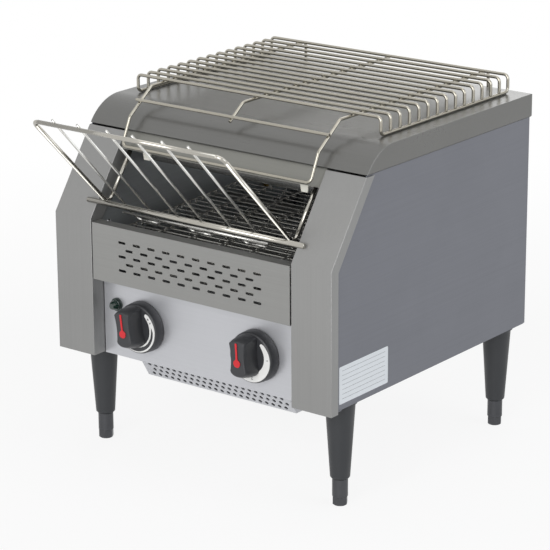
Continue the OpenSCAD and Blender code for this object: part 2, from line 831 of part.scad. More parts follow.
// The chain's path: an arc on the wheel, one on the motor sprocket, two straight runs
function ray(c, r, a) = c + r * [cos(a), sin(a)];
function chain_at(s) =
    s < wheel_arc ? ray(wheel_c, wheel_r, run_dir + 90 - wrap + s / wheel_r * 180 / PI) :
    s < wheel_arc + straight ?
        ray(ray(wheel_c, wheel_r, run_dir - 90 + wrap), s - wheel_arc, run_dir + wrap) :
    s < wheel_arc + straight + motor_arc ?
        ray(motor_c, motor_r, run_dir - 90 + wrap + (s - wheel_arc - straight) / motor_r * 180 / PI) :
        ray(ray(motor_c, motor_r, run_dir + 90 - wrap),
            s - wheel_arc - straight - motor_arc, run_dir + 180 - wrap);
function link_at(i) = chain_at((i % links) * chain_len / links);

module drive_chain() color(DARK_STEEL) {
    for (i = [0 : links - 1]) {
        p = link_at(i);
        q = link_at(i + 1);
        x = i % 2 == 0 ? 1.6 : 2.5;
        for (s = [-1, 1])
            translate([chain_x + s * x, p.x, p.y])
            rotate([atan2(q.y - p.y, q.x - p.x), 0, 0])
            along_x(-0.4, 0.4) union() {
                circle(d = 5, $fn = 24);
                translate([norm(q - p), 0]) circle(d = 5, $fn = 24);
                translate([0, -1.8]) square([norm(q - p), 3.6]);
            }
        bar_x(chain_x - 3.2, chain_x + 3.2, p.x, p.y, 2);
        bar_x(chain_x - 1.3, chain_x + 1.3, p.x, p.y, chain_roller);
    }
}

module gear_motor() color("#54565a") difference() {
    x1 = liner_x - 0.2;
    union() {
        block([x1 - 32, motor_y - 22, motor_z - 28], [x1, motor_y + 32, motor_z + 26]);
        block([x1 - 78, motor_y - 16, motor_z - 22], [x1 - 31, motor_y + 26, motor_z + 20]);
        bar_x(x1 - 92, x1 - 70, motor_y + 5, motor_z, 24);
        block([x1 - 32, motor_y - 22, pan_top + seat], [x1 - 28, motor_y + 32, motor_z]);
        block([x1 - 32, motor_y - 22, pan_top + seat], [x1 - 12, motor_y + 32, pan_top + 2.5]);
    }
    bar_x(x1 - 12, x1 + 1, motor_y, motor_z, 7 + 2 * run_fit);
}

module fan_frame() color(BLACK) translate([fan_x, fan_y, fan_z]) {
    difference() {
        translate([-fan_s / 2, -fan_s / 2, 0]) cube([fan_s, fan_s, fan_h]);
        translate([0, 0, -1]) cylinder(h = fan_h + 2, d = fan_bore);
        for (x = [-1, 1], y = [-1, 1])
            translate([x * 41.25, y * 41.25, -1]) cylinder(h = fan_h + 2, d = 4.3);
    }
    for (a = [0, 120, 240]) rotate(a) translate([0, -3, fan_h - 3]) cube([fan_bore / 2 + 1, 6, 3]);
    translate([0, 0, fan_h - 4]) cylinder(h = 4, d = 38);
}

module fan_rotor() color(BLACK) translate([fan_x, fan_y, fan_z]) {
    hub_z = fan_h - 4 - clear;
    translate([0, 0, 2]) cylinder(h = hub_z - 2, d = 36);
    intersection() {
        translate([0, 0, 2]) cylinder(h = hub_z - 2, d = fan_bore - 3);
        for (i = [0 : 6]) rotate(i * 360 / 7)
            translate([10, 0, hub_z / 2 + 1])
            rotate([38, 0, 0])
            translate([0, -1, -20])
            cube([40, 2, 40]);
    }
}

module speed_control_board() color(COPPER_BOARD) {
    x0 = -liner_x + 18;
    y0 = 200;
    z0 = pan_top + 8;
    difference() {
        block([x0, y0, z0], [x0 + 60, y0 + 90, z0 + 1.6]);
        for (x = [4, 56], y = [4, 86]) translate([x0 + x, y0 + y, z0 - 1]) cylinder(h = 4, d = 3.4);
    }
    for (x = [4, 56], y = [4, 86])
        translate([x0 + x, y0 + y, pan_top + seat]) cylinder(h = z0 - pan_top - seat, d = 6);
    for (i = [0 : 3]) translate([x0 + 14 + i * 11, y0 + 20, z0 + 1]) cylinder(h = 15, d = 8);
    for (i = [0 : 4]) block([x0 + 12 + i * 7, y0 + 50, z0 + 1], [x0 + 14 + i * 7, y0 + 80, z0 + 24]);
    block([x0 + 12, y0 + 50, z0 + 1], [x0 + 42, y0 + 80, z0 + 5]);
}

// Control behind the panel with a bush in the panel and a bore for a knob's spindle
module control_body(x) {
    y0 = panel_y + sheet + seat;
    difference() {
        union() {
            children();
            bar_y(panel_y - 0.3, y0 + 1, x, knob_z, spindle_hole - 0.6);
            bar_y(y0, y0 + 2, x, knob_z, spindle_hole + 5);
        }
        bar_y(panel_y - 2, y0 + 16, x, knob_z, spindle_d + 2 * run_fit);
    }
}

module selector_switch() color(BLACK) control_body(-knob_x) {
    y0 = panel_y + sheet + seat;
    block([-knob_x - 15, y0 + 1.5, knob_z - 15], [-knob_x + 15, y0 + 28, knob_z + 15]);
    for (x = [-10, 0, 10], z = [-8, 8])
        block([-knob_x + x - 3, y0 + 27, knob_z + z - 0.4], [-knob_x + x + 3, y0 + 35, knob_z + z + 0.4]);
}

module speed_regulator() color(BLACK) control_body(knob_x) {
    y0 = panel_y + sheet + seat;
    bar_y(y0 + 1.5, y0 + 18, knob_x, knob_z, 28);
    for (x = [-6, 0, 6])
        block([knob_x + x - 1.5, y0 + 8, knob_z - 22], [knob_x + x + 1.5, y0 + 9, knob_z - 10]);
}

module terminal_block() color(WHITE) {
    x0 = -side_x + flange + sheet_gap;
    y0 = 270;
    z0 = pan_top + seat;
    difference() {
        block([x0, y0, z0], [x0 + 18, y0 + 50, z0 + 17]);
        for (i = [0 : 4]) {
            translate([x0 + 4.5, y0 + 5 + i * 10, z0 + 6]) cylinder(h = 20, d = 5);
            translate([x0 + 13.5, y0 + 5 + i * 10, z0 + 6]) cylinder(h = 20, d = 5);
        }
    }
}

module lamp_bezel() color(CHROME) difference() {
    union() {
        bar_y(panel_y - 2, panel_y - seat, lamp_x, lamp_z, lamp_d + 2.6);
        bar_y(panel_y - 1, panel_y + 16, lamp_x, lamp_z, lamp_d - 1.4);
    }
    bar_y(panel_y - 3, panel_y + 10, lamp_x, lamp_z, lamp_d - 3.6);
}

module lamp_lens() color(GREEN) translate([lamp_x, panel_y - 2 - seat, lamp_z]) rotate([90, 0, 0]) {
    difference() {
        union() {
            cylinder(h = 2.4, d = lamp_d);
            translate([0, 0, 2]) cylinder(h = 3.4, d1 = lamp_d - 0.6, d2 = lamp_d - 2.4);
            translate([0, 0, 5.3]) cylinder(h = 2.6, d1 = lamp_d - 2.4, d2 = lamp_d - 6);
        }
        for (i = [0 : 11]) rotate(i * 30) translate([lamp_d / 2 - 0.2, 0, 2.4]) cylinder(h = 6, d = 1.4);
    }
    translate([0, 0, -8]) cylinder(h = 8.5, d = lamp_d - 4);
}

// Knob along -Y: skirt, waisted grip, spindle that enters the control behind
module knob(x) {
    waist = 150;
    translate([x, knob_back, knob_z]) rotate([90, 0, 0]) {
        rotate_extrude() polygon([
            [0, 0], [knob_d / 2 - 1, 0], [knob_d / 2, 1], [knob_d / 2 - 1.2, skirt_h - 0.8],
            [knob_d / 2 - 2, skirt_h], [0, skirt_h]
        ]);
        difference() {
            intersection() {
                translate([0, 0, skirt_h - 1]) cylinder(h = grip_h + 1, d1 = knob_d - 3, d2 = knob_d - 6);
                translate([-grip_w / 2, -knob_d, 0]) cube([grip_w, 2 * knob_d, skirt_h + grip_h]);
            }
            for (s = [-1, 1])
                translate([s * (grip_w / 2 + waist - 2), 0, skirt_h])
                cylinder(h = grip_h + 1, r = waist);
        }
        translate([0, 0, -15]) cylinder(h = 16, d = spindle_d);
    }
}

// Pointer on a knob's grip: a dot on the axis and a stem
module pointer(x, lean) {
    translate([x, grip_y - seat, knob_z]) rotate([90, 0, 0]) rotate(lean) {
        cylinder(h = 0.8, d = 8.5);
        translate([-1.15, 0, 0]) cube([2.3, knob_d / 2 - 6.4, 0.8]);
    }
}

module selector_knob() color(BLACK) turned(-knob_x, left_lean) knob(-knob_x);

module speed_knob() color(BLACK) turned(knob_x, right_lean) knob(knob_x);

module selector_pointer() color(RED) pointer(-knob_x, left_lean);

module speed_pointer() color(RED) pointer(knob_x, right_lean);

// Children turned round a knob's axis, anticlockwise as the user sees it
module turned(x, angle) {
    translate([x, 0, knob_z]) rotate([0, -angle, 0]) translate([-x, 0, -knob_z]) children();
}

module cable_gland() color(BLACK) {
    flats = 22;
    translate([-(half_w - 24), rear_y, gland_z]) rotate([-90, 0, 0]) difference() {
        union() {
            translate([0, 0, seat]) cylinder(h = 3, d = flats);
            translate([0, 0, 3]) cylinder(h = 5, d = flats / cos(30), $fn = 6);
            translate([0, 0, 7]) cylinder(h = 5, d1 = 19, d2 = 13);
            translate([0, 0, -11]) cylinder(h = 14, d = gland_hole - 0.4);
        }
        translate([0, 0, -12]) cylinder(h = 30, d = 9);
    }
}

// Leg with its flange under the base pan and a bore for the foot's stem
module leg(x, y) {
    color(LEG) translate([x, y, 0]) difference() {
        union() {
            translate([0, 0, leg_h - leg_flange]) cylinder(h = leg_flange, d = leg_d + 4);
            translate([0, 0, foot_h + clear]) rotate_extrude() polygon([
                [0, 0], [leg_tip_d / 2 - 1, 0], [leg_tip_d / 2, 1.4],
                [leg_d / 2, leg_h - leg_flange - foot_h + 1], [0, leg_h - leg_flange - foot_h + 1]
            ]);
            translate([0, 0, leg_h - 1]) cylinder(h = 7, d = 8);
        }
        translate([0, 0, foot_h - 1]) cylinder(h = stem_l + 6, d = stem_d + 2 * run_fit);
    }
}

// Levelling foot: hexagon, round body and the stem that goes up into the leg
module foot(x, y) {
    hex_h = 9;
    color(DARK_STEEL) translate([x, y, 0]) {
        intersection() {
            cylinder(h = hex_h + 0.5, d = foot_hex / cos(30), $fn = 6);
            rotate_extrude() polygon([
                [0, 0], [foot_hex / 2 - 0.4, 0], [foot_hex / 2 + 1.4, 1.6], [foot_hex / 2 + 1.4, hex_h + 1],
                [0, hex_h + 1]
            ]);
        }
        rotate_extrude() polygon([
            [0, hex_h], [foot_d / 2 - 0.8, hex_h], [foot_d / 2, hex_h + 0.8], [foot_d / 2, foot_h - 0.8],
            [foot_d / 2 - 0.8, foot_h], [0, foot_h]
        ]);
        translate([0, 0, foot_h - 1]) cylinder(h = stem_l + 1, d = stem_d);
    }
}

module front_left_leg() leg(-leg_x, leg_front);
module front_right_leg() leg(leg_x, leg_front);
module rear_left_leg() leg(-leg_x, leg_rear);
module rear_right_leg() leg(leg_x, leg_rear);
module front_left_foot() foot(-leg_x, leg_front);
module front_right_foot() foot(leg_x, leg_front);
module rear_left_foot() foot(-leg_x, leg_rear);
module rear_right_foot() foot(leg_x, leg_rear);

// Loading rack: the wires lie at 45 degrees, where y + z keeps one sum
function rack_at(sum, z, x) = [x, sum - z, z];

module loading_rack_frame() color(WIRE) {
    wire([
        [-rack_x, front_y(arm_z, arm_inset), arm_z],
        rack_at(leg_sum, bend_low, -rack_x),
        rack_at(leg_sum, rack_top_z, -rack_x),
        rack_at(leg_sum, rack_top_z, rack_x),
        rack_at(leg_sum, bend_low, rack_x),
        [rack_x, front_y(arm_z, arm_inset), arm_z]
    ], load_frame_d, rack_r - 2);
    bar_x(-open_x - 10.6, open_x + 10.6, bar_sum - bar_z, bar_z, load_bar_d);
}

module loading_rack_wires() color(WIRE) {
    for (pair = hairpin_x)
        wire([
            rack_at(tip_sum, rack_top_z + 4.5, pair[0]),
            rack_at(hairpin_sum, hairpin_z, pair[0]),
            rack_at(hairpin_sum, hairpin_z, pair[1]),
            rack_at(tip_sum, rack_top_z + 4.5, pair[1])
        ], load_wire_d, 7);
    rod_y = hairpin_sum - (load_wire_d + seat) * sqrt(2) - rod_z;
    bar_x(hairpin_x[0][0] - 9, hairpin_x[2][1] + 9, rod_y, rod_z, load_wire_d);
}

module warming_rack_frame() color(WIRE) {
    x = warm_x;
    mid = (warm_front + warm_rear) / 2;
    wire([
        [-x, mid, rail_z], [-x, warm_front, rail_z], [-x, warm_front, warm_z], [x, warm_front, warm_z],
        [x, warm_front, rail_z], [x, warm_rear, rail_z], [x, warm_rear, warm_z], [-x, warm_rear, warm_z],
        [-x, warm_rear, rail_z], [-x, mid, rail_z]
    ], warm_d, 5);
    rod_y = front_y(rod_low, -warm_off);
    wire([
        [-long_x, tail_y, tail_z], [-long_x, tail_y, long_z], [-long_x, fall_from.x, fall_from.y],
        [-long_x, fall_to.x, fall_to.y], [-long_x, rod_y, rod_low], [long_x, rod_y, rod_low],
        [long_x, fall_to.x, fall_to.y], [long_x, fall_from.x, fall_from.y], [long_x, tail_y, long_z],
        [long_x, tail_y, tail_z]
    ], warm_d, 6);
    fall = unit(fall_to - fall_from);
    cross = fall_from + 24 * fall + (warm_d + seat) * [fall.y, -fall.x];
    end = fall_from + 28 * fall;
    bar_x(-long_x - 3, long_x + 3, cross.x, cross.y, warm_d);
    wire([[0, warm_rear + 6, long_z], [0, fall_from.x, fall_from.y], [0, end.x, end.y]], warm_d, 8);
}

module warming_rack_wires() color(WIRE) {
    foot_z = rail_z + warm_d / 2 + seat;
    for (i = [1 : warm_count - 2]) {
        y = warm_front + i * warm_pitch;
        wire([[-warm_x, y, foot_z], [-warm_x, y, warm_z], [warm_x, y, warm_z], [warm_x, y, foot_z]], warm_d, 5);
    }
}

// Moves the object from its working place to the middle of its own footprint
module placed() {
    translate([0, shift_y, 0]) children();
}

placed() base_pan();
placed() left_side_panel();
placed() right_side_panel();
placed() left_pillar();
placed() right_pillar();
placed() lid();
placed() rear_panel();
placed() hood_baffle();
placed() hood_clips();
placed() heat_shield();
placed() control_panel();
placed() intake_grille();
placed() housing_screws();
placed() left_liner();
placed() right_liner();
placed() chamber_floor();
placed() upper_reflector();
placed() upper_heaters();
placed() lower_heaters();
placed() heater_end_caps();
placed() crumb_tray();
placed() toast_chute();
placed() conveyor_belt();
placed() drive_shaft();
placed() drive_sprockets();
placed() drive_bushes();
placed() idler_shaft();
placed() idler_sprockets();
placed() idler_bushes();
placed() chain_wheel();
placed() drive_chain();
placed() motor_sprocket();
placed() gear_motor();
placed() fan_frame();
placed() fan_rotor();
placed() speed_control_board();
placed() speed_regulator();
placed() selector_switch();
placed() terminal_block();
placed() lamp_bezel();
placed() lamp_lens();
placed() cable_gland();
placed() speed_knob();
placed() speed_pointer();
placed() selector_knob();
placed() selector_pointer();
placed() front_left_leg();
placed() front_right_leg();
placed() rear_left_leg();
placed() rear_right_leg();
placed() front_left_foot();
placed() front_right_foot();
placed() rear_left_foot();
placed() rear_right_foot();
placed() loading_rack_frame();
placed() loading_rack_wires();
placed() warming_rack_frame();
placed() warming_rack_wires();
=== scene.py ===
"""Looks of a countertop conveyor toaster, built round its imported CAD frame.

Every sub-assembly is a class that holds its sizes, builds its meshes and dresses them.
Lengths are metres. The place of each piece is worked out from the frame's own nodes.
"""

import json
import logging
import math
from collections.abc import Callable, Sequence
from dataclasses import dataclass
from enum import Enum

import bmesh
import bpy
from bmesh.types import BMVert, BMesh
from bpy.types import ID, Material, Mesh, Node, NodeSocket, NodeTree, Object
from mathutils import Matrix, Vector

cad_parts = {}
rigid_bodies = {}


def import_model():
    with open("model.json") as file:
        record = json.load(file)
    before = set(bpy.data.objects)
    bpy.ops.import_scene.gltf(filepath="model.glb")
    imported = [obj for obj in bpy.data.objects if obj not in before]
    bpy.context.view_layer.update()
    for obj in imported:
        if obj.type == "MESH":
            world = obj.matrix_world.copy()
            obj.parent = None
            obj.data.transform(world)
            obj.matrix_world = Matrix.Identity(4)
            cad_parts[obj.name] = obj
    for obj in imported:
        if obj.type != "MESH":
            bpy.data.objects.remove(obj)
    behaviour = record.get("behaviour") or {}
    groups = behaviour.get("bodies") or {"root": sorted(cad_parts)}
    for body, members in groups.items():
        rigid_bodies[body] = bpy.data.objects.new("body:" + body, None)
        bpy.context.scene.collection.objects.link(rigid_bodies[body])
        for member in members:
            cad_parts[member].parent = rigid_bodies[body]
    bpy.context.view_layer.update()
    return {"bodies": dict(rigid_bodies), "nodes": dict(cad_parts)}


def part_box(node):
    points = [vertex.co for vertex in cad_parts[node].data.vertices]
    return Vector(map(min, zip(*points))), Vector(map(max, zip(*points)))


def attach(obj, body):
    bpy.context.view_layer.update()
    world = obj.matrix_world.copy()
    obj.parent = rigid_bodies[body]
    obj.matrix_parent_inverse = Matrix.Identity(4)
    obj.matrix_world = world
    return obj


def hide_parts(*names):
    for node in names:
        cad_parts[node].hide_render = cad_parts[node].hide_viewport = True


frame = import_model()

LOG = logging.getLogger("toaster")
MM = 0.001
MERGE = 1e-6  # distance at which corners merge
NOISE_SPAN = (0.3, 0.7)  # where nearly all values of a noise lie
FLATNESS = 0.6  # degrees below which two faces count as one
BEVEL_ANGLE = 35.0  # degrees above which an edge is rounded
CURVED_ANGLE = 40.0  # the same, on a piece whose faces follow a curve

Color = tuple[float, float, float]
Flat = tuple[float, float]
Profile = Sequence[Flat]
Point = tuple[float, float, float]
Stations = Sequence[Point]
Inputs = dict[str, tuple[str, object]]


def low(node: str) -> Vector:
    """Lowest corner of a CAD node."""
    return Vector(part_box(node)[0])


def high(node: str) -> Vector:
    """Highest corner of a CAD node."""
    return Vector(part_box(node)[1])


def middle(node: str) -> Vector:
    """Centre of a CAD node's box."""
    return (low(node) + high(node)) / 2


def srgb(red: int, green: int, blue: int) -> Color:
    """Turns an 8-bit screen colour into the linear values that shaders take.

    Args:
        red: Its red, 0 to 255.
        green: Its green.
        blue: Its blue.

    Returns:
        The three linear values, 0 to 1.
    """
    def linear(value: int) -> float:
        """Linear value of one channel."""
        share = value / 255
        return share / 12.92 if share <= 0.04045 else ((share + 0.055) / 1.055) ** 2.4
    return linear(red), linear(green), linear(blue)


# ---------------------------------------------------------------- node trees

@dataclass
class Tree:
    """A thin layer over a node tree that adds and links nodes by name."""

    tree: NodeTree

    def add(self, kind: str, **settings: object) -> Node:
        """Adds a node.

        Args:
            kind: The node's type, such as "ShaderNodeTexNoise".
            settings: Properties of the node, and values of inputs written as in_Name.

        Returns:
            The new node.
        """
        node = self.tree.nodes.new(kind)
        for key, value in settings.items():
            if key.startswith("in_"):
                node.inputs[key[3:].replace("_", " ")].default_value = value
            else:
                setattr(node, key, value)
        return node

    def link(self, source: NodeSocket, target: NodeSocket) -> None:
        """Joins two sockets."""
        self.tree.links.new(source, target)

    def join(self, *links: tuple[Node, str, Node, str]) -> None:
        """Joins nodes; each link is a node, its output's name, the next node and its input's name."""
        for source, output, target, socket in links:
            self.link(source.outputs[output], target.inputs[socket])

    def effect(self, group: NodeTree, place: NodeSocket, **values: object) -> Node:
        """Places a shared effect.

        Args:
            group: The effect's group.
            place: The coordinates that it reads.
            values: Values of its inputs, by their names.

        Returns:
            The group's node.
        """
        node = self.add("ShaderNodeGroup", node_tree=group)
        for name, value in values.items():
            node.inputs[name].default_value = value
        self.link(place, node.inputs["Vector"])
        return node

    def math(self, operation: str, first: object, second: object = 0.0) -> NodeSocket:
        """Adds a Math node.

        Args:
            operation: Its operation, such as "MULTIPLY".
            first: A socket or a number.
            second: A socket or a number.

        Returns:
            The node's output.
        """
        node = self.add("ShaderNodeMath", operation=operation)
        for i, value in enumerate((first, second)):
            if isinstance(value, NodeSocket):
                self.link(value, node.inputs[i])
            else:
                node.inputs[i].default_value = value
        return node.outputs[0]

    def blend(self, first: NodeSocket, second: NodeSocket, share: float) -> NodeSocket:
        """Adds a share of one value to the rest of the other."""
        return self.math("ADD", self.math("MULTIPLY", first, share), self.math("MULTIPLY", second, 1 - share))

    def ramp(self, source: NodeSocket, span: Flat, out: Flat) -> NodeSocket:
        """Maps a value from one span to another, held at both ends.

        Args:
            source: The value to map.
            span: Its low and high end.
            out: What these ends become.

        Returns:
            The mapped value.
        """
        node = self.add("ShaderNodeMapRange")
        for name, value in zip(("From Min", "From Max", "To Min", "To Max"), (*span, *out)):
            node.inputs[name].default_value = value
        self.link(source, node.inputs["Value"])
        return node.outputs["Result"]


def new_tree(kind: str, name: str, inputs: Inputs, outputs: dict[str, str]) -> tuple[Tree, Node, Node]:
    """Makes an empty node group.

    Args:
        kind: Its type, for shaders or for geometry.
        name: The group's name.
        inputs: Name of each input to its type and default.
        outputs: Name of each output to its type.

    Returns:
        The group's tree, its input node and its output node.
    """
    group = bpy.data.node_groups.new(name, kind)
    for socket, (socket_type, value) in inputs.items():
        made = group.interface.new_socket(socket, in_out="INPUT", socket_type=socket_type)
        if value is not None:
            made.default_value = value
    for socket, socket_type in outputs.items():
        group.interface.new_socket(socket, in_out="OUTPUT", socket_type=socket_type)
    tree = Tree(group)
    return tree, tree.add("NodeGroupInput"), tree.add("NodeGroupOutput")


def grain_group() -> NodeTree:
    """Makes the fine straight scratches of a brushed or drawn surface.

    Returns:
        The group, which gives Tone and Height, both about 0 to 1.
    """
    tree, source, out = new_tree(
        "ShaderNodeTree", "Brushed grain",
        {"Vector": ("NodeSocketVector", None), "Stretch": ("NodeSocketVector", (1.0, 1.0, 1.0))},
        {"Tone": "NodeSocketFloat", "Height": "NodeSocketFloat"})
    scaled = tree.add("ShaderNodeVectorMath", operation="MULTIPLY")
    tree.link(source.outputs["Vector"], scaled.inputs[0])
    tree.link(source.outputs["Stretch"], scaled.inputs[1])
    fine = tree.add("ShaderNodeTexNoise", in_Scale=1.0, in_Detail=4.0, in_Roughness=0.7)
    wide = tree.add("ShaderNodeTexNoise", in_Scale=0.17, in_Detail=2.0)
    tree.join((scaled, "Vector", fine, "Vector"), (scaled, "Vector", wide, "Vector"),
              (fine, "Fac", out, "Height"))
    mixed = tree.blend(fine.outputs["Fac"], wide.outputs["Fac"], 0.7)
    tree.link(tree.ramp(mixed, NOISE_SPAN, (0.0, 1.0)), out.inputs["Tone"])
    return tree.tree


def mottle_group() -> NodeTree:
    """Makes the slow, cloudy change of tone over a surface.

    Returns:
        The group, which gives Tone from 0 to 1.
    """
    tree, source, out = new_tree(
        "ShaderNodeTree", "Mottle",
        {"Vector": ("NodeSocketVector", None), "Scale": ("NodeSocketFloat", 10.0)},
        {"Tone": "NodeSocketFloat"})
    noise = tree.add("ShaderNodeTexNoise", in_Detail=3.0, in_Roughness=0.55, in_Distortion=0.3)
    tree.join((source, "Vector", noise, "Vector"), (source, "Scale", noise, "Scale"))
    tree.link(tree.ramp(noise.outputs["Fac"], NOISE_SPAN, (0.0, 1.0)), out.inputs["Tone"])
    return tree.tree


def stipple_group() -> NodeTree:
    """Makes the fine spark-eroded texture of moulded plastic.

    Returns:
        The group, which gives Height from 0 to 1.
    """
    tree, source, out = new_tree(
        "ShaderNodeTree", "Stipple",
        {"Vector": ("NodeSocketVector", None), "Scale": ("NodeSocketFloat", 1500.0)},
        {"Height": "NodeSocketFloat"})
    cells = tree.add("ShaderNodeTexVoronoi", feature="SMOOTH_F1", in_Randomness=1.0)
    tree.join((source, "Vector", cells, "Vector"), (source, "Scale", cells, "Scale"),
              (cells, "Distance", out, "Height"))
    return tree.tree


class Effects:
    """The shared shader groups, built once."""

    grain: NodeTree = None
    mottle: NodeTree = None
    stipple: NodeTree = None

    @classmethod
    def build(cls) -> None:
        """Builds every group."""
        cls.grain = grain_group()
        cls.mottle = mottle_group()
        cls.stipple = stipple_group()


class Grain(Enum):
    """Direction in which a sheet was brushed or a wire was drawn; the values stretch its noise."""

    ALONG_X = (6.0, 1400.0, 1400.0)
    ALONG_Y = (1400.0, 6.0, 1400.0)
    ALONG_Z = (1400.0, 1400.0, 6.0)


@dataclass(frozen=True)
class Coating:
    """What a finish works on: the material's tree and shader, its coordinates and its slow change of tone."""

    tree: Tree
    shader: Node
    place: NodeSocket
    mottle: NodeSocket

    def bump(self, height: NodeSocket, distance: float, strength: float) -> None:
        """Bumps the shader's normal.

        Args:
            height: The height, 0 to 1.
            distance: What a height of 1 is, in metres.
            strength: Share of the effect.
        """
        bump = self.tree.add("ShaderNodeBump", in_Distance=distance, in_Strength=strength)
        self.tree.link(height, bump.inputs["Height"])
        self.tree.link(bump.outputs["Normal"], self.shader.inputs["Normal"])


@dataclass(frozen=True)
class Finish:
    """A surface finish. Its tone varies by spread around the colour, and its gloss by play."""

    name: str
    color: Color
    roughness: float = 0.5
    metallic: float = 0.0
    spread: float = 0.08
    play: float = 0.06
    mottle_scale: float = 14.0

    def material(self) -> Material:
        """Builds the material, once for each name.

        Returns:
            The material.
        """
        made = bpy.data.materials.get(self.name)
        if made:
            return made
        made = bpy.data.materials.new(self.name)
        made.use_nodes = True
        tree = Tree(made.node_tree)
        shader = made.node_tree.nodes["Principled BSDF"]
        shader.inputs["Metallic"].default_value = self.metallic
        place = tree.add("ShaderNodeTexCoord").outputs["Object"]
        mottle = tree.effect(Effects.mottle, place, Scale=self.mottle_scale)
        tone = self.surface(Coating(tree, shader, place, mottle.outputs["Tone"]))
        shade = tree.add("ShaderNodeMix", data_type="RGBA", clamp_result=True)
        shade.inputs["A"].default_value = (*[c * (1 - self.spread) for c in self.color], 1)
        shade.inputs["B"].default_value = (*[min(1, c * (1 + self.spread)) for c in self.color], 1)
        tree.link(tone, shade.inputs["Factor"])
        tree.link(shade.outputs["Result"], shader.inputs["Base Color"])
        gloss = tree.ramp(tone, (0.0, 1.0), (self.roughness + self.play, self.roughness - self.play))
        tree.link(gloss, shader.inputs["Roughness"])
        return made

    def surface(self, on: Coating) -> NodeSocket:
        """Adds what sets this kind of finish apart.

        Args:
            on: What it works on.

        Returns:
            The tone that moves the colour and the gloss.
        """
        return on.mottle


@dataclass(frozen=True)
class Brushed(Finish):
    """Brushed sheet or drawn wire."""

    grain: Grain = Grain.ALONG_X
    depth: float = 0.01 * MM
    bump_share: float = 0.5
    grain_share: float = 0.65

    def surface(self, on: Coating) -> NodeSocket:
        """Adds the scratches.

        Args:
            on: What it works on.

        Returns:
            The tone that moves the colour and the gloss.
        """
        grain = on.tree.effect(Effects.grain, on.place, Stretch=self.grain.value)
        on.bump(grain.outputs["Height"], self.depth, self.bump_share)
        return on.tree.blend(grain.outputs["Tone"], on.mottle, self.grain_share)


@dataclass(frozen=True)
class Moulded(Finish):
    """Moulded plastic with a fine eroded texture."""

    texture: float = 1800.0
    depth: float = 0.04 * MM
    bump_share: float = 0.35

    def surface(self, on: Coating) -> NodeSocket:
        """Adds the texture.

        Args:
            on: What it works on.

        Returns:
            The tone that moves the colour and the gloss.
        """
        stipple = on.tree.effect(Effects.stipple, on.place, Scale=self.texture)
        on.bump(stipple.outputs["Height"], self.depth, self.bump_share)
        return on.mottle


@dataclass(frozen=True)
class Lens(Finish):
    """Tinted lens: mostly body colour, with a clear coat on top."""

    coat: float = 1.0
    coat_roughness: float = 0.04

    def surface(self, on: Coating) -> NodeSocket:
        """Adds the coat.

        Args:
            on: What it works on.

        Returns:
            The tone that moves the colour and the gloss.
        """
        on.shader.inputs["Coat Weight"].default_value = self.coat
        on.shader.inputs["Coat Roughness"].default_value = self.coat_roughness
        return on.mottle


@dataclass(frozen=True)
class Quartz(Finish):
    """Clear quartz glass."""

    clearness: float = 0.6

    def surface(self, on: Coating) -> NodeSocket:
        """Makes the surface clear.

        Args:
            on: What it works on.

        Returns:
            The tone that moves the colour and the gloss.
        """
        on.shader.inputs["Transmission Weight"].default_value = self.clearness
        return on.mottle


FRONT_STEEL = Brushed("Front steel", srgb(144, 144, 142), 0.42, 0.6, 0.05, 0.05)
PILLAR_STEEL = Brushed("Pillar steel", srgb(143, 143, 142), 0.42, 0.6, 0.05, 0.05, grain=Grain.ALONG_Z)
# Painted shade: the front's steel made darker and bluer, for the shade on the sides, rear and base.
SIDE_STEEL_PAINTED_SHADE = Brushed("Side steel", srgb(116, 118, 125), 0.4, 0.6, 0.05, 0.05, grain=Grain.ALONG_Y)
# Painted shade: the front's steel made darker, standing in for less light on the baffle's slope.
BAFFLE_STEEL_PAINTED_SHADE = Brushed("Baffle steel", srgb(130, 130, 125), 0.4, 0.65, 0.05, 0.05)
# Painted shade: the front's steel made darker, for the lid's top, which takes less light.
LID_STEEL_PAINTED_SHADE = Brushed("Lid steel", srgb(114, 114, 112), 0.3, 0.75, 0.05, 0.05)
PANEL_STEEL = Brushed("Panel steel", srgb(192, 193, 197), 0.36, 0.6, 0.04, 0.05)
CHAMBER_STEEL = Brushed("Chamber steel", srgb(160, 164, 167), 0.42, 0.6, 0.12, 0.08, grain=Grain.ALONG_Y)
# The chamber floor is much darker than the lining.
FLOOR_STEEL = Brushed("Scorched steel", srgb(66, 64, 62), 0.5, 0.5, 0.15, 0.08, grain=Grain.ALONG_Y)
REFLECTOR_STEEL = Brushed("Reflector steel", srgb(150, 148, 143), 0.35, 0.7, 0.08, 0.06)
BRIGHT = Finish("Bright plate", srgb(214, 214, 216), 0.16, 1.0, 0.03, 0.05, 60.0)
# Painted highlight: the rack bar's wire made lighter and whiter, for the highlights on the inner wires.
LOADING_WIRE_PAINTED_HIGHLIGHT = Brushed("Loading rack wire", srgb(200, 199, 195), 0.18, 0.8, 0.08, 0.05, grain=Grain.ALONG_Y)
BAR_WIRE = Brushed("Loading rack bar", srgb(176, 173, 165), 0.18, 0.95, 0.08, 0.05)
WARMING_WIRE = Brushed("Warming rack wire", srgb(168, 164, 153), 0.18, 0.95, 0.1, 0.06)
BELT_WIRE = Brushed("Belt wire", srgb(196, 194, 188), 0.24, 0.85, 0.16, 0.08, 160.0)
MACHINED = Brushed("Machined steel", srgb(120, 121, 123), 0.35, 0.85, 0.08, 0.06)
BRONZE = Finish("Bearing bronze", srgb(176, 141, 74), 0.35, 0.9, 0.08, 0.06, 80.0)
COIL_WIRE = Finish("Heating wire", srgb(96, 88, 82), 0.45, 0.8, 0.15, 0.06, 200.0)
KNOB_PLASTIC = Moulded("Knob plastic", srgb(48, 49, 52), 0.42, 0.0, 0.05, 0.04, 40.0)
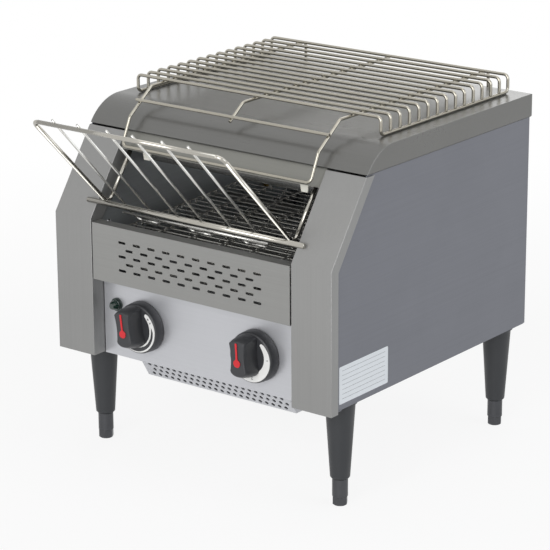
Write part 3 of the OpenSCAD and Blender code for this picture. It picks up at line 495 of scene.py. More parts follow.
BLACK_PLASTIC = Moulded("Black plastic", srgb(34, 34, 36), 0.5, 0.0, 0.06, 0.05, 40.0)
LEG_PLASTIC = Moulded("Leg plastic", srgb(42, 44, 47), 0.45, 0.0, 0.06, 0.05, 30.0, texture=1100.0)
FOOT_METAL = Finish("Foot metal", srgb(74, 75, 78), 0.4, 0.6, 0.08, 0.06, 60.0)
RED_PLASTIC = Finish("Pointer red", srgb(206, 30, 40), 0.35, 0.0, 0.03, 0.03, 90.0)
LAMP_RIM = Finish("Lamp rim", srgb(58, 66, 64), 0.2, 0.4, 0.05, 0.04, 120.0)
GREEN_LENS = Lens("Lamp green", srgb(14, 44, 35), 0.12, 0.0, 0.15, 0.03, 200.0)
WHITE_PRINT = Finish("White print", srgb(232, 232, 230), 0.55, 0.0, 0.02, 0.04, 90.0)
LABEL_PAPER = Finish("Label film", srgb(226, 230, 234), 0.42, 0.0, 0.015, 0.05, 30.0)
GREY_PRINT = Finish("Grey print", srgb(120, 122, 128), 0.55, 0.0, 0.04, 0.04, 90.0)
CERAMIC = Finish("Ceramic", srgb(232, 229, 218), 0.25, 0.0, 0.03, 0.05, 60.0)
CLIP_WHITE = Moulded("Heat-proof clip", srgb(226, 224, 214), 0.5, 0.0, 0.04, 0.05, 60.0)
BOARD_GREEN = Finish("Circuit board", srgb(40, 100, 60), 0.35, 0.0, 0.12, 0.06, 90.0)
QUARTZ = Quartz("Quartz", srgb(128, 128, 126), 0.12, 0.0, 0.04, 0.05, 60.0)
MOTOR_PAINT = Moulded("Motor paint", srgb(92, 95, 98), 0.5, 0.1, 0.08, 0.06, 40.0, texture=700.0)


# ---------------------------------------------------------------- meshes

def body_of(node: str) -> str:
    """Name of the CAD body that a node rides on."""
    parent = frame["nodes"][node].parent
    return next(name for name, empty in frame["bodies"].items() if empty is parent)


def add_object(name: str, data: ID) -> Object:
    """Links a new object at the origin.

    Args:
        name: Its name.
        data: Its mesh, light or camera.

    Returns:
        The object.
    """
    made = bpy.data.objects.new(name, data)
    bpy.context.scene.collection.objects.link(made)
    return made


def to_mesh(name: str, shape: BMesh, smooth: bool = True) -> Mesh:
    """Turns a bmesh into a mesh.

    Args:
        name: The mesh's name.
        shape: The bmesh, which is freed.
        smooth: Whether the faces are shaded smooth.

    Returns:
        The mesh.
    """
    for face in shape.faces:
        face.smooth = smooth
    mesh = bpy.data.meshes.new(name)
    shape.to_mesh(mesh)
    shape.free()
    return mesh


def from_bmesh(name: str, shape: BMesh, smooth: bool = True) -> Object:
    """Turns a bmesh into an object, with its doubles merged and its faces outwards.

    Args:
        name: The piece's name.
        shape: The bmesh, which is freed.
        smooth: Whether the faces are shaded smooth.

    Returns:
        The object.
    """
    bmesh.ops.remove_doubles(shape, verts=shape.verts, dist=MERGE)
    bmesh.ops.recalc_face_normals(shape, faces=shape.faces)
    return add_object(name, to_mesh(name, shape, smooth))


def bevel(piece: Object, width: float, segments: int = 2, angle: float = BEVEL_ANGLE) -> Object:
    """Adds modifiers that round edges sharper than an angle and keep the flat faces between them flat.

    Args:
        piece: The object.
        width: Width of the bevel.
        segments: Its segments.
        angle: The angle in degrees.

    Returns:
        The same object.
    """
    made = piece.modifiers.new("Edges", "BEVEL")
    made.width, made.segments = width, segments
    made.limit_method, made.angle_limit = "ANGLE", math.radians(angle)
    made.miter_outer = "MITER_ARC"
    flats = piece.modifiers.new("Flats", "WEIGHTED_NORMAL")
    flats.mode, flats.weight, flats.keep_sharp = "FACE_AREA", 100, False
    return piece


def applied(piece: Object) -> Object:
    """Turns what the modifiers give into the piece's plain mesh, and removes them.

    Args:
        piece: The object.

    Returns:
        The same object.
    """
    graph = bpy.context.evaluated_depsgraph_get()
    graph.update()
    mesh = bpy.data.meshes.new_from_object(piece.evaluated_get(graph), preserve_all_data_layers=True,
                                           depsgraph=graph)
    mesh.name = piece.name
    piece.modifiers.clear()
    piece.data = mesh
    return piece


def dress(piece: Object, finish: Finish, body: str, replaces: Sequence[str] = ()) -> None:
    """Gives a piece its finish and its body, and hides the CAD nodes that it stands for.

    Args:
        piece: The object.
        finish: Its finish.
        body: The CAD body that it rides on.
        replaces: The CAD nodes that it stands for.
    """
    piece.data.materials.clear()
    piece.data.materials.append(finish.material())
    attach(piece, body)
    if replaces:
        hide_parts(*replaces)


def polar(radius: float, degrees: float) -> Flat:
    """Point at a radius and an angle round the origin."""
    angle = math.radians(degrees)
    return radius * math.cos(angle), radius * math.sin(angle)


def lathe(shape: BMesh, profile: Profile, centre: Vector, axis: Vector, steps: int) -> None:
    """Adds a turned shape.

    Args:
        shape: The bmesh that takes the faces.
        profile: Points of radius and height along the axis; a radius of 0 closes an end.
        centre: Where the height is 0.
        axis: Direction of the axis.
        steps: Faces round the axis.
    """
    turn = axis.to_track_quat("Z", "Y").to_matrix()
    rings = [[shape.verts.new(centre + turn @ Vector((*polar(radius, 360 * k / steps), height)))
              for k in range(steps if radius else 1)] for radius, height in profile]
    for first, second in zip(rings, rings[1:]):
        for k in range(steps):
            corners = dict.fromkeys((first[k % len(first)], first[(k + 1) % len(first)],
                                     second[(k + 1) % len(second)], second[k % len(second)]))
            if len(corners) > 2:
                shape.faces.new(list(corners))


def skin(shape: BMesh, rings: Sequence[Sequence[BMVert]], ends: bool = True) -> None:
    """Joins each ring of corners to the next with a band of faces.

    Args:
        shape: The bmesh that takes the faces.
        rings: The rings, each with as many corners.
        ends: Whether the first and the last ring are closed with a face.
    """
    for first, second in zip(rings, rings[1:]):
        for k in range(len(first)):
            after = (k + 1) % len(first)
            shape.faces.new((first[k], first[after], second[after], second[k]))
    if ends:
        shape.faces.new(rings[0][::-1])
        shape.faces.new(rings[-1])


def prism(shape: BMesh, outline: Profile, place: Callable[..., Vector], depth: Flat) -> None:
    """Adds an extruded outline.

    Args:
        shape: The bmesh that takes the faces.
        outline: The outline's points.
        place: Turns a point of the outline and a depth into a place.
        depth: The two depths that the outline is extruded between.
    """
    skin(shape, [[shape.verts.new(place(a, b, d)) for a, b in outline] for d in depth])


def arc(centre: Flat, radius: float, start: float, end: float, steps: int) -> list[Flat]:
    """Places points along an arc.

    Args:
        centre: Its centre.
        radius: Its radius.
        start: Its first angle in degrees.
        end: Its last angle in degrees.
        steps: Steps between the two.

    Returns:
        The points, both ends included.
    """
    points = [polar(radius, start + (end - start) * i / steps) for i in range(steps + 1)]
    return [(centre[0] + a, centre[1] + b) for a, b in points]


def merged(node: str) -> BMesh:
    """Copies a CAD node's loose triangles into a bmesh, with its doubles merged.

    Args:
        node: The CAD node.

    Returns:
        The bmesh.
    """
    shape = bmesh.new()
    shape.from_mesh(frame["nodes"][node].data)
    bmesh.ops.remove_doubles(shape, verts=shape.verts, dist=MERGE)
    return shape


def islands(node: str) -> list[tuple[Vector, Vector]]:
    """Finds the separate solids in a CAD node.

    Args:
        node: The CAD node.

    Returns:
        The lowest and the highest corner of each solid, in order.
    """
    shape = merged(node)
    left, found = set(shape.verts), []
    while left:
        stack = [left.pop()]
        part = []
        while stack:
            vert = stack.pop()
            part.append(vert.co.copy())
            for edge in vert.link_edges:
                other = edge.other_vert(vert)
                if other in left:
                    left.remove(other)
                    stack.append(other)
        found.append((Vector([min(c[i] for c in part) for i in range(3)]),
                      Vector([max(c[i] for c in part) for i in range(3)])))
    shape.free()
    return sorted(found, key=lambda corners: tuple(corners[0]))


def rounded(finish: Finish, slot: str, width: float, *nodes: str, ending: str = "_sheet") -> int:
    """Copies CAD nodes with their sharp edges rounded, as formed sheet and moulded pieces have them.

    Args:
        finish: Their finish.
        slot: A material slot's name; not used.
        width: Width of the rounding.
        nodes: The CAD nodes; each piece stands for one of them.
        ending: What follows the node's name in the piece's name.

    Returns:
        How many pieces were made.
    """
    for node in nodes:
        shape = merged(node)
        bmesh.ops.dissolve_limit(shape, angle_limit=math.radians(FLATNESS), verts=shape.verts,
                                 edges=shape.edges)
        piece = applied(bevel(add_object(node + ending, to_mesh(node + ending, shape)), width))
        dress(piece, finish, body_of(node), (node,))
    return len(nodes)


def slimmed(node: str, finish: Finish, by: float) -> None:
    """Copies a CAD node of bent wires with the wires a little thinner on the same centre lines.

    Args:
        node: The CAD node that the piece stands for.
        finish: Its finish.
        by: How far its surface moves in.
    """
    shape = merged(node)
    bmesh.ops.recalc_face_normals(shape, faces=shape.faces)
    shape.normal_update()
    for vert in shape.verts:
        vert.co -= vert.normal * by
    dress(from_bmesh(node + "_drawn", shape), finish, body_of(node), (node,))


def keep(finish: Finish, *nodes: str) -> int:
    """Keeps CAD nodes as they are, and gives them a better material.

    Args:
        finish: Their finish.
        nodes: The CAD nodes.

    Returns:
        How many there are.
    """
    for node in nodes:
        for place in frame["nodes"][node].material_slots:
            place.material = finish.material()
    return len(nodes)


def nudge(name: str, chosen: Callable[[Vector], bool], step: Callable[[Vector], Vector]) -> None:
    """Moves some corners of a finished piece.

    Args:
        name: The piece's name.
        chosen: Says whether a corner moves.
        step: How far a corner moves.
    """
    for vert in bpy.data.objects[name].data.vertices:
        if chosen(vert.co):
            vert.co += step(vert.co)


# ---------------------------------------------------------------- repeats

def geometry_tree(name: str, inputs: Inputs) -> tuple[Tree, Node, Node]:
    """Makes a Geometry Nodes tree whose last node sets the material.

    Args:
        name: The tree's name.
        inputs: Name of each input to its type and default, after Geometry and Finish.

    Returns:
        The tree, its input node and the node that sets the material.
    """
    sockets = {"Geometry": ("NodeSocketGeometry", None), "Finish": ("NodeSocketMaterial", None), **inputs}
    tree, source, out = new_tree("GeometryNodeTree", name, sockets, {"Geometry": "NodeSocketGeometry"})
    paint = tree.add("GeometryNodeSetMaterial")
    tree.join((source, "Finish", paint, "Material"), (paint, "Geometry", out, "Geometry"))
    return tree, source, paint


def wire_tree() -> NodeTree:
    """Makes round wire along every chain of edges, with closed ends.

    Returns:
        The tree.
    """
    tree, source, paint = geometry_tree("Round wire", {
        "Radius": ("NodeSocketFloat", 0.001), "Sides": ("NodeSocketInt", 8)})
    line = tree.add("GeometryNodeMeshToCurve")
    ring = tree.add("GeometryNodeCurvePrimitiveCircle")
    wire = tree.add("GeometryNodeCurveToMesh", in_Fill_Caps=True)
    smooth = tree.add("GeometryNodeSetShadeSmooth")
    tree.join((source, "Geometry", line, "Mesh"), (source, "Radius", ring, "Radius"),
              (source, "Sides", ring, "Resolution"), (line, "Curve", wire, "Curve"),
              (ring, "Curve", wire, "Profile Curve"), (wire, "Mesh", smooth, "Geometry"),
              (smooth, "Geometry", paint, "Geometry"))
    return tree.tree


def copies_tree() -> NodeTree:
    """Copies one shape to every point, turned as the point's "turn" attribute says.

    Returns:
        The tree.
    """
    tree, source, paint = geometry_tree("Copies on places", {
        "Shape": ("NodeSocketObject", None), "Size": ("NodeSocketFloat", 1.0)})
    shape = tree.add("GeometryNodeObjectInfo")
    turn = tree.add("GeometryNodeInputNamedAttribute", data_type="FLOAT_VECTOR", in_Name="turn")
    place = tree.add("GeometryNodeInstanceOnPoints")
    real = tree.add("GeometryNodeRealizeInstances")
    tree.join((source, "Shape", shape, "Object"), (source, "Geometry", place, "Points"),
              (shape, "Geometry", place, "Instance"), (turn, "Attribute", place, "Rotation"),
              (source, "Size", place, "Scale"), (place, "Instances", real, "Geometry"),
              (real, "Geometry", paint, "Geometry"))
    return tree.tree


class Repeats:
    """The Geometry Nodes trees, built once."""

    wire: NodeTree = None
    copies: NodeTree = None

    @classmethod
    def build(cls) -> None:
        """Builds every tree."""
        cls.wire = wire_tree()
        cls.copies = copies_tree()


def grown(piece: Object, tree: NodeTree, **values: object) -> Object:
    """Runs a Geometry Nodes tree on a piece and keeps the result as its plain mesh.

    Args:
        piece: The object.
        tree: The tree.
        values: Values of the tree's inputs, by their names.

    Returns:
        The same object.
    """
    made = piece.modifiers.new(tree.name, "NODES")
    made.node_group = tree
    for item in tree.interface.items_tree:
        if item.item_type == "SOCKET" and item.in_out == "INPUT" and item.name in values:
            made[item.identifier] = values[item.name]
    return applied(piece)


def points_object(name: str, places: Sequence[tuple[Vector, Vector]]) -> Object:
    """Makes loose points for copies.

    Args:
        name: The piece's name.
        places: Each copy's place and its turns about X, Y and Z.

    Returns:
        The object.
    """
    mesh = bpy.data.meshes.new(name)
    mesh.from_pydata([place for place, _ in places], [], [])
    turn = mesh.attributes.new("turn", "FLOAT_VECTOR", "POINT")
    for item, (_, value) in zip(turn.data, places):
        item.vector = value
    return add_object(name, mesh)


def lines_object(name: str, lines: Sequence[Sequence[Vector]]) -> Object:
    """Makes chains of edges for wires.

    Args:
        name: The object's name.
        lines: Each chain's points.

    Returns:
        The object.
    """
    verts, edges = [], []
    for line in lines:
        first = len(verts)
        verts += [tuple(point) for point in line]
        edges += [(first + i, first + i + 1) for i in range(len(line) - 1)]
    mesh = bpy.data.meshes.new(name)
    mesh.from_pydata(verts, edges, [])
    return add_object(name, mesh)


# ---------------------------------------------------------------- pieces

@dataclass
class Housing:
    """The sheet-metal body: each sheet keeps its CAD shape, with its bends and cut edges rounded.

    The heat shield's two side strips move in by shadow_gap, so that a dark joint shows beside the pillars.
    """

    edge: float = 0.3 * MM
    fold: float = 1.0 * MM
    shadow_gap: float = 0.8 * MM
    shadow_strip: float = 4.0 * MM

    def build(self) -> int:
        """Builds and dresses the sheets.

        Returns:
            How many there are.
        """
        # The side, rear, base, lid and baffle finishes are darker copies of the front's steel: painted shade.
        sheets = (
            (PILLAR_STEEL, "housing_steel", self.fold, "left_pillar", "right_pillar"),
            (FRONT_STEEL, "housing_steel", self.edge, "heat_shield"),
            (LID_STEEL_PAINTED_SHADE, "housing_steel", self.fold, "lid"),
            (BAFFLE_STEEL_PAINTED_SHADE, "housing_steel", self.edge, "hood_baffle"),
            (SIDE_STEEL_PAINTED_SHADE, "housing_steel", self.edge,
             "left_side_panel", "right_side_panel", "rear_panel", "base_pan"),
            (PANEL_STEEL, "housing_steel", self.edge, "intake_grille"),
            (PANEL_STEEL, "panel_steel", self.edge, "control_panel", "toast_chute"),
        )
        count = sum(rounded(*sheet) for sheet in sheets)
        edge = high("heat_shield").x - self.shadow_strip
        nudge("heat_shield_sheet", lambda co: abs(co.x) > edge,
              lambda co: Vector((-math.copysign(self.shadow_gap, co.x), 0, 0)))
        return count + rounded(CLIP_WHITE, "clip_white", self.edge, "hood_clips", ending="_moulded")


@dataclass
class Chamber:
    """The toast tunnel's lining, heaters and tray."""

    edge: float = 0.3 * MM
    cap_edge: float = 0.6 * MM
    coil_radius: float = 2.5 * MM
    coil_wire: float = 0.4 * MM
    coil_pitch: float = 3.2 * MM
    coil_steps: int = 8
    coil_sides: int = 4
    coil_end: float = 12.0 * MM

    def build(self) -> int:
        """Builds and dresses the pieces.

        Returns:
            How many there are.
        """
        count = sum(rounded(finish, "chamber_steel", self.edge, *nodes) for finish, *nodes in (
            (CHAMBER_STEEL, "left_liner", "right_liner"),
            (FLOOR_STEEL, "chamber_floor"),
            (CHAMBER_STEEL, "crumb_tray"),
            (REFLECTOR_STEEL, "upper_reflector")))
        count += rounded(CERAMIC, "ceramic", self.cap_edge, "heater_end_caps", ending="_moulded")
        return count + keep(QUARTZ, "upper_heaters", "lower_heaters") + self.coils()

    def coils(self) -> int:
        """Winds a heating wire inside each quartz tube.

        Returns:
            How many wires there are.
        """
        lines = []
        for first, last in islands("upper_heaters") + islands("lower_heaters"):
            centre, reach = (first + last) / 2, (last.x - first.x) / 2 - self.coil_end
            steps = round(2 * reach / self.coil_pitch) * self.coil_steps
            turns = [polar(self.coil_radius, 360 * k / self.coil_steps) for k in range(steps + 1)]
            lines.append([centre + Vector((reach * (2 * k / steps - 1), *turn))
                          for k, turn in enumerate(turns)])
        piece = grown(lines_object("heater_coils", lines), Repeats.wire, Radius=self.coil_wire,
                      Sides=self.coil_sides, Finish=COIL_WIRE.material())
        dress(piece, COIL_WIRE, body_of("upper_heaters"))
        return len(lines)


@dataclass
class WireBelt:
    """The wire mesh belt: one bent strand, copied round the two wheels.

    A link leaves its strand with a small rise, a share of the wire's radius, and reaches the hook's
    height at a share of its slant and of the pitch.
    """

    pitch: float = 11.4 * MM
    teeth: int = 10
    links: int = 25
    wire: float = 0.85 * MM
    rise: float = 1.4
    crest: Flat = (0.2, 0.25)
    hook: float = 2.1 * MM
    hook_end: float = -70.0
    hook_steps: int = 7
    end_turn: float = 70.0
    slant: float = 3.0 * MM
    columns: tuple[float, ...] = (-0.083, -0.0415, 0.0, 0.0415, 0.083)
    sides: int = 8

    def __post_init__(self) -> None:
        """Works out what follows from the frame."""
        self.front, self.back = middle("idler_shaft"), middle("drive_shaft")
        self.edge = high("conveyor_belt").x - self.wire
        self.radius = self.pitch / (2 * math.sin(math.pi / self.teeth))
        along = self.back - self.front
        self.tilt = math.atan2(along.z, along.y)

    def link(self, x: float, slant: float, reach: float = 0.0) -> list[Vector]:
        """Centre line of the wire that hooks round the next strand.

        Args:
            x: Where it leaves its own strand.
            slant: How far it moves along X on its way.
            reach: How much further the hook turns, in degrees.

        Returns:
            Its points: Y points to the next strand, and Z out of the belt.
        """
        turn = arc((self.pitch, 0), self.hook, 90, self.hook_end - reach, self.hook_steps)
        return [Vector((x, 0, 0)), Vector((x, self.wire, self.wire * self.rise)),
                Vector((x + slant * self.crest[0], self.pitch * self.crest[1], self.hook)),
                *(Vector((x + slant, *point)) for point in turn)]

    def strand(self) -> Object:
        """Makes one strand: a straight wire with its hooks.

        Returns:
            The strand, in its own place at the origin.
        """
        lines = [[Vector((-self.edge, 0, 0)), Vector((self.edge, 0, 0))],
                 self.link(-self.edge, self.slant / 2, self.end_turn),
                 self.link(self.edge - self.slant, self.slant, self.end_turn)]
        lines += [self.link(x, self.slant) for x in self.columns]
        return grown(lines_object("strand", lines), Repeats.wire, Radius=self.wire, Sides=self.sides,
                     Finish=BELT_WIRE.material())

    def places(self) -> list[Flat]:
        """Works out where the strands lie round the two wheels.

        Returns:
            Their centres, along the belt from the front wheel and square to it.
        """
        run, half = self.links * self.pitch, self.teeth // 2
        top = [(i * self.pitch, self.radius) for i in range(self.links + 1)]
        bottom = [(u, -v) for u, v in reversed(top)]
        return (top + arc((run, 0), self.radius, 90, -90, half)[1:-1]
                + bottom + arc((0, 0), self.radius, -90, -270, half)[1:-1])

    def build(self) -> int:
        """Builds and dresses the belt.

        Returns:
            The number of strands.
        """
        cos, sin = math.cos(self.tilt), math.sin(self.tilt)
        spots = [Vector((0, self.front.y + u * cos - v * sin, self.front.z + u * sin + v * cos))
                 for u, v in self.places()]
        steps = [following - spot for spot, following in zip(spots, spots[1:] + spots[:1])]
        placed = [(spot, Vector((math.atan2(step.z, step.y), 0, 0))) for spot, step in zip(spots, steps)]
        strand = self.strand()
        belt = grown(points_object("belt_strands", placed), Repeats.copies, Shape=strand,
                     Finish=BELT_WIRE.material())
        bpy.data.objects.remove(strand)
        dress(belt, BELT_WIRE, body_of("conveyor_belt"), ("conveyor_belt",))
        return len(placed)


@dataclass(frozen=True)
class Scale:
    """What is printed on a knob's skirt.

    Each station of a band is its angle in degrees and its inner and outer radius in millimetres.
    Each figure is its strokes, its angle in degrees, and its radius and stroke width in millimetres.
    """

    ending: str
    bands: tuple[Stations, ...]
    figures: tuple[tuple[Sequence[Profile], float, float, float], ...]


# A crescent that splits in two, with a dot and a square.
SELECTOR_SCALE = Scale("_marks", (
    ((56, 21.2, 22.8), (53.5, 20.0, 24.0), (48, 19.6, 24.6), (14, 18.8, 25.4)),
    ((14, 21.6, 25.4), (0, 23.2, 25.7), (-60, 24.0, 25.8), (-118, 25.2, 25.7)),
    ((14, 18.8, 21.2), (0, 18.5, 20.6), (-60, 18.6, 20.2), (-96, 19.4, 19.9)),
), (
    ([[(-0.4, 0), (0.4, 0)]], 40, 21.6, 1.4),
    ([[(-0.3, -0.9), (-0.3, 0.9)], [(0.6, -0.9), (0.6, 0.9)]], 28, 21.9, 0.5),
))

# A crescent that widens, with the figures 1 and 2.
SPEED_SCALE = Scale("_figures", (
    ((53, 21.2, 22.4), (50.5, 20.2, 23.6), (44, 19.6, 24.4), (20, 18.6, 25.3), (0, 17.9, 25.6),
     (-40, 16.6, 25.7), (-75, 16.8, 25.8), (-95, 18.8, 25.8), (-118, 25.0, 25.8)),
), (
    ([[(-0.5, 0.7), (0.0, 1.2), (0.0, -1.2)]], 4, 22.0, 0.45),
    ([[(-0.8, 0.8), (-0.4, 1.3), (0.4, 1.3), (0.8, 0.8), (0.7, 0.2), (-0.8, -1.3), (0.9, -1.3)]],
     -84, 21.6, 0.45),
))


@dataclass
class Knob:
    """A control knob: a printed skirt with a waisted grip across it.

    The skirt's rings say how far each lies inside the rim and over the panel, in millimetres. The
    grip's say their share of its depth, the two reaches of its ends and its width in millimetres.
    The short end is part straight and part round, in the shares that short_end gives.
    """

    name: str
    lean: float
    scale: Scale
    radius: float = 28.0 * MM
    skirt_depth: float = 13.0 * MM
    skirt_rings: Profile = ((1.6, 0.0), (0.4, 0.4), (0.0, 1.4), (0.6, 10.6), (1.1, 12.1), (2.0, 12.8),
                            (2.8, 13.0), (6.0, 13.0))
    skirt_steps: int = 72
    grip_depth: float = 21.5 * MM
    grip_rings: tuple[tuple[float, float, float, float], ...] = (
        (0.0, 26.2, 19.5, 22.0), (0.4, 25.6, 18.6, 21.8), (0.75, 24.6, 16.8, 21.2), (1.0, 22.8, 14.6, 20.0))
    grip_root: float = 0.5 * MM
    grip_edge: float = 1.4 * MM
    grip_segments: int = 4
    grip_steps: int = 16
    short_end: Flat = (0.6, 0.4)
    flank_steps: int = 6
    waist: float = 1.6 * MM
    pointer_edge: float = 0.25 * MM
    print_depth: float = 0.06 * MM
    figure_rise: float = 1.8
    band_steps: int = 10

    def __post_init__(self) -> None:
        """Works out the knob's place from its CAD node."""
        self.node = self.name + "_knob"
        self.centre = Vector((middle(self.node).x, low(self.node).y, middle(self.node).z))
        self.face = self.centre.y + self.grip_depth
        self.back = self.face + self.skirt_depth

    def grip_outline(self, top: float, bottom: float, width: float) -> list[Flat]:
        """Outline of the grip: a long end that points, a short end, and waisted flanks.

        Args:
            top: Radius of the long end, round the knob's axis.
            bottom: Reach of the short end from the axis.
            width: Width of the grip.

        Returns:
            Its points across and along the grip.
        """
        half, steps, flank_steps = width / 2, self.grip_steps, self.flank_steps
        straight, round_share = self.short_end
        angle = math.degrees(math.acos(half / top))
        long_end = arc((0, 0), top, angle, 180 - angle, steps)
        short_end = [(-half * a, -bottom * (straight + round_share * b))
                     for a, b in arc((0, 0), 1, 0, 180, steps)]
        upper, lower = long_end[0][1], short_end[0][1]
        flank = [(-half + self.waist * (1 - t * t), upper + (lower - upper) * (t + 1) / 2)
                 for t in (k / flank_steps for k in range(1 - flank_steps, flank_steps))]
        return long_end + flank + short_end + [(-a, b) for a, b in flank[::-1]]

    def turned(self, across: float, up: float, depth: float) -> Vector:
        """Place of a point of the knob, turned by its lean."""
        c, s = math.cos(math.radians(self.lean)), math.sin(math.radians(self.lean))
        return Vector((self.centre.x + across * c - up * s, depth, self.centre.z + across * s + up * c))

    def dressed(self, piece: Object) -> None:
        """Dresses a moulded part that stands for the knob's node."""
        dress(piece, KNOB_PLASTIC, body_of(self.node), (self.node,))

    def build(self) -> None:
        """Builds the skirt, the grip and the pointer."""
        rim = [(self.radius - inset * MM, height * MM) for inset, height in self.skirt_rings]
        shape = bmesh.new()
        lathe(shape, [(0, 0), *rim, (0, self.skirt_depth)], Vector((self.centre.x, self.back, self.centre.z)),
              Vector((0, -1, 0)), self.skirt_steps)
        self.dressed(from_bmesh(self.name + "_skirt", shape))
        shape = bmesh.new()
        root = self.face + self.grip_root
        skin(shape, [[shape.verts.new(self.turned(a, b, root + (self.centre.y - root) * share))
                      for a, b in self.grip_outline(top * MM, bottom * MM, width * MM)]
                     for share, top, bottom, width in self.grip_rings])
        self.dressed(applied(bevel(from_bmesh(self.name + "_grip", shape), self.grip_edge, self.grip_segments,
                                   CURVED_ANGLE)))
        rounded(RED_PLASTIC, "red_plastic", self.pointer_edge, self.name + "_pointer", ending="")

    def print_scale(self) -> None:
        """Prints the bands and then the figures on the skirt."""
        bands = [(band,) for band in self.scale.bands]
        for ending, finish, draw, rows in (
                ("_scale", WHITE_PRINT, self.band, bands),
                (self.scale.ending, BLACK_PLASTIC, self.strokes, self.scale.figures)):
            shape = bmesh.new()
            for row in rows:
                draw(shape, *row)
            dress(from_bmesh(self.name + ending, shape, False), finish, body_of(self.node))

    def band(self, shape: BMesh, stations: Stations) -> None:
        """Adds a printed band to the skirt's face.

        Args:
            shape: The bmesh that takes the faces.
            stations: The band's stations.
        """
        front, back = self.face - self.print_depth, self.face + self.print_depth
        rows = [[a + (b - a) * k / self.band_steps for a, b in zip(first, second)]
                for first, second in zip(stations, stations[1:]) for k in range(self.band_steps)]
        rings = []
        for angle, inner, outer in (*rows, stations[-1]):
            ring = []
            for radius, depth in ((inner, front), (outer, front), (outer, back), (inner, back)):
                across, up = polar(radius * MM, angle)
                ring.append(shape.verts.new((self.centre.x + across, depth, self.centre.z + up)))
            rings.append(ring)
        skin(shape, rings)

    def strokes(self, shape: BMesh, lines: Sequence[Profile], angle: float, radius: float,
                width: float) -> None:
        """Adds a figure drawn with flat strokes on the print.

        Args:
            shape: The bmesh that takes the faces.
            lines: The strokes' points in millimetres; the second axis points outwards from the knob.
            angle: The figure's angle on the dial in degrees.
            radius: Its distance from the knob's axis in millimetres.
            width: Width of a stroke in millimetres.
        """
        out = Vector(polar(1, angle))
        side = Vector((out.y, -out.x))
        levels = (self.face - self.print_depth * self.figure_rise, self.face)
        for line in lines:
            points = [side * x + out * (radius + y) for x, y in line]
            for first, second in zip(points, points[1:]):
                along = (second - first).normalized() * width / 2
                across = Vector((-along.y, along.x))
                corners = (first - along - across, second + along - across,
                           second + along + across, first - along + across)
                prism(shape, [c * MM for c in corners],
                      lambda a, b, d: Vector((self.centre.x + a, d, self.centre.z + b)), levels)


@dataclass
class Controls:
    """The two knobs with their printed scales, and the lamp between them and the pillar."""

    selector_lean: float = 7.0
    speed_lean: float = 3.0

    def build(self) -> int:
        """Builds the knobs and dresses the lamp.

        Returns:
            How many controls there are.
        """
        knobs = (Knob("selector", self.selector_lean, SELECTOR_SCALE),
                 Knob("speed", self.speed_lean, SPEED_SCALE))
        for knob in knobs:
            knob.build()
        for knob in knobs:
            knob.print_scale()
        keep(LAMP_RIM, "lamp_bezel")
        return len(knobs) + keep(GREEN_LENS, "lamp_lens")


@dataclass
class Racks:
    """The loading rack on the front and the warming rack on the lid.

    The loading rack's wires are drawn a little thinner than the CAD's. Its arms, which run up under
    the lid, end a little lower, so that their tips stay clear of the lid while the rack lifts.
    """

    thinner: float = 0.3 * MM
    arm_trim: float = 2.2 * MM
    arm_tip: float = 19.0 * MM
    arm_front: float = -100.0 * MM

    def build(self) -> int:
        """Dresses the wires.

        Returns:
            How many nodes there are.
        """
        slimmed("loading_rack_frame", BAR_WIRE, self.thinner)
        # The inner wires take a lighter copy of the bar's wire: a painted highlight.
        slimmed("loading_rack_wires", LOADING_WIRE_PAINTED_HIGHLIGHT, self.thinner)
        top = low("lid").z - self.arm_tip
        nudge("loading_rack_frame_drawn", lambda co: co.z > top and co.y > self.arm_front,
              lambda co: Vector((0, 0, -self.arm_trim)))
        return 2 + keep(WARMING_WIRE, "warming_rack_frame", "warming_rack_wires")


@dataclass
class Supports:
    """The four legs and their levelling feet."""

    edge: float = 0.5 * MM
    corners: tuple[str, ...] = ("front_left", "front_right", "rear_left", "rear_right")

    def build(self) -> int:
        """Builds and dresses the legs and feet.

        Returns:
            How many legs there are.
        """
        for corner in self.corners:
            rounded(LEG_PLASTIC, "leg_plastic", self.edge, corner + "_leg", ending="_moulded")
            rounded(FOOT_METAL, "foot_metal", self.edge, corner + "_foot", ending="_turned")
        return len(self.corners)


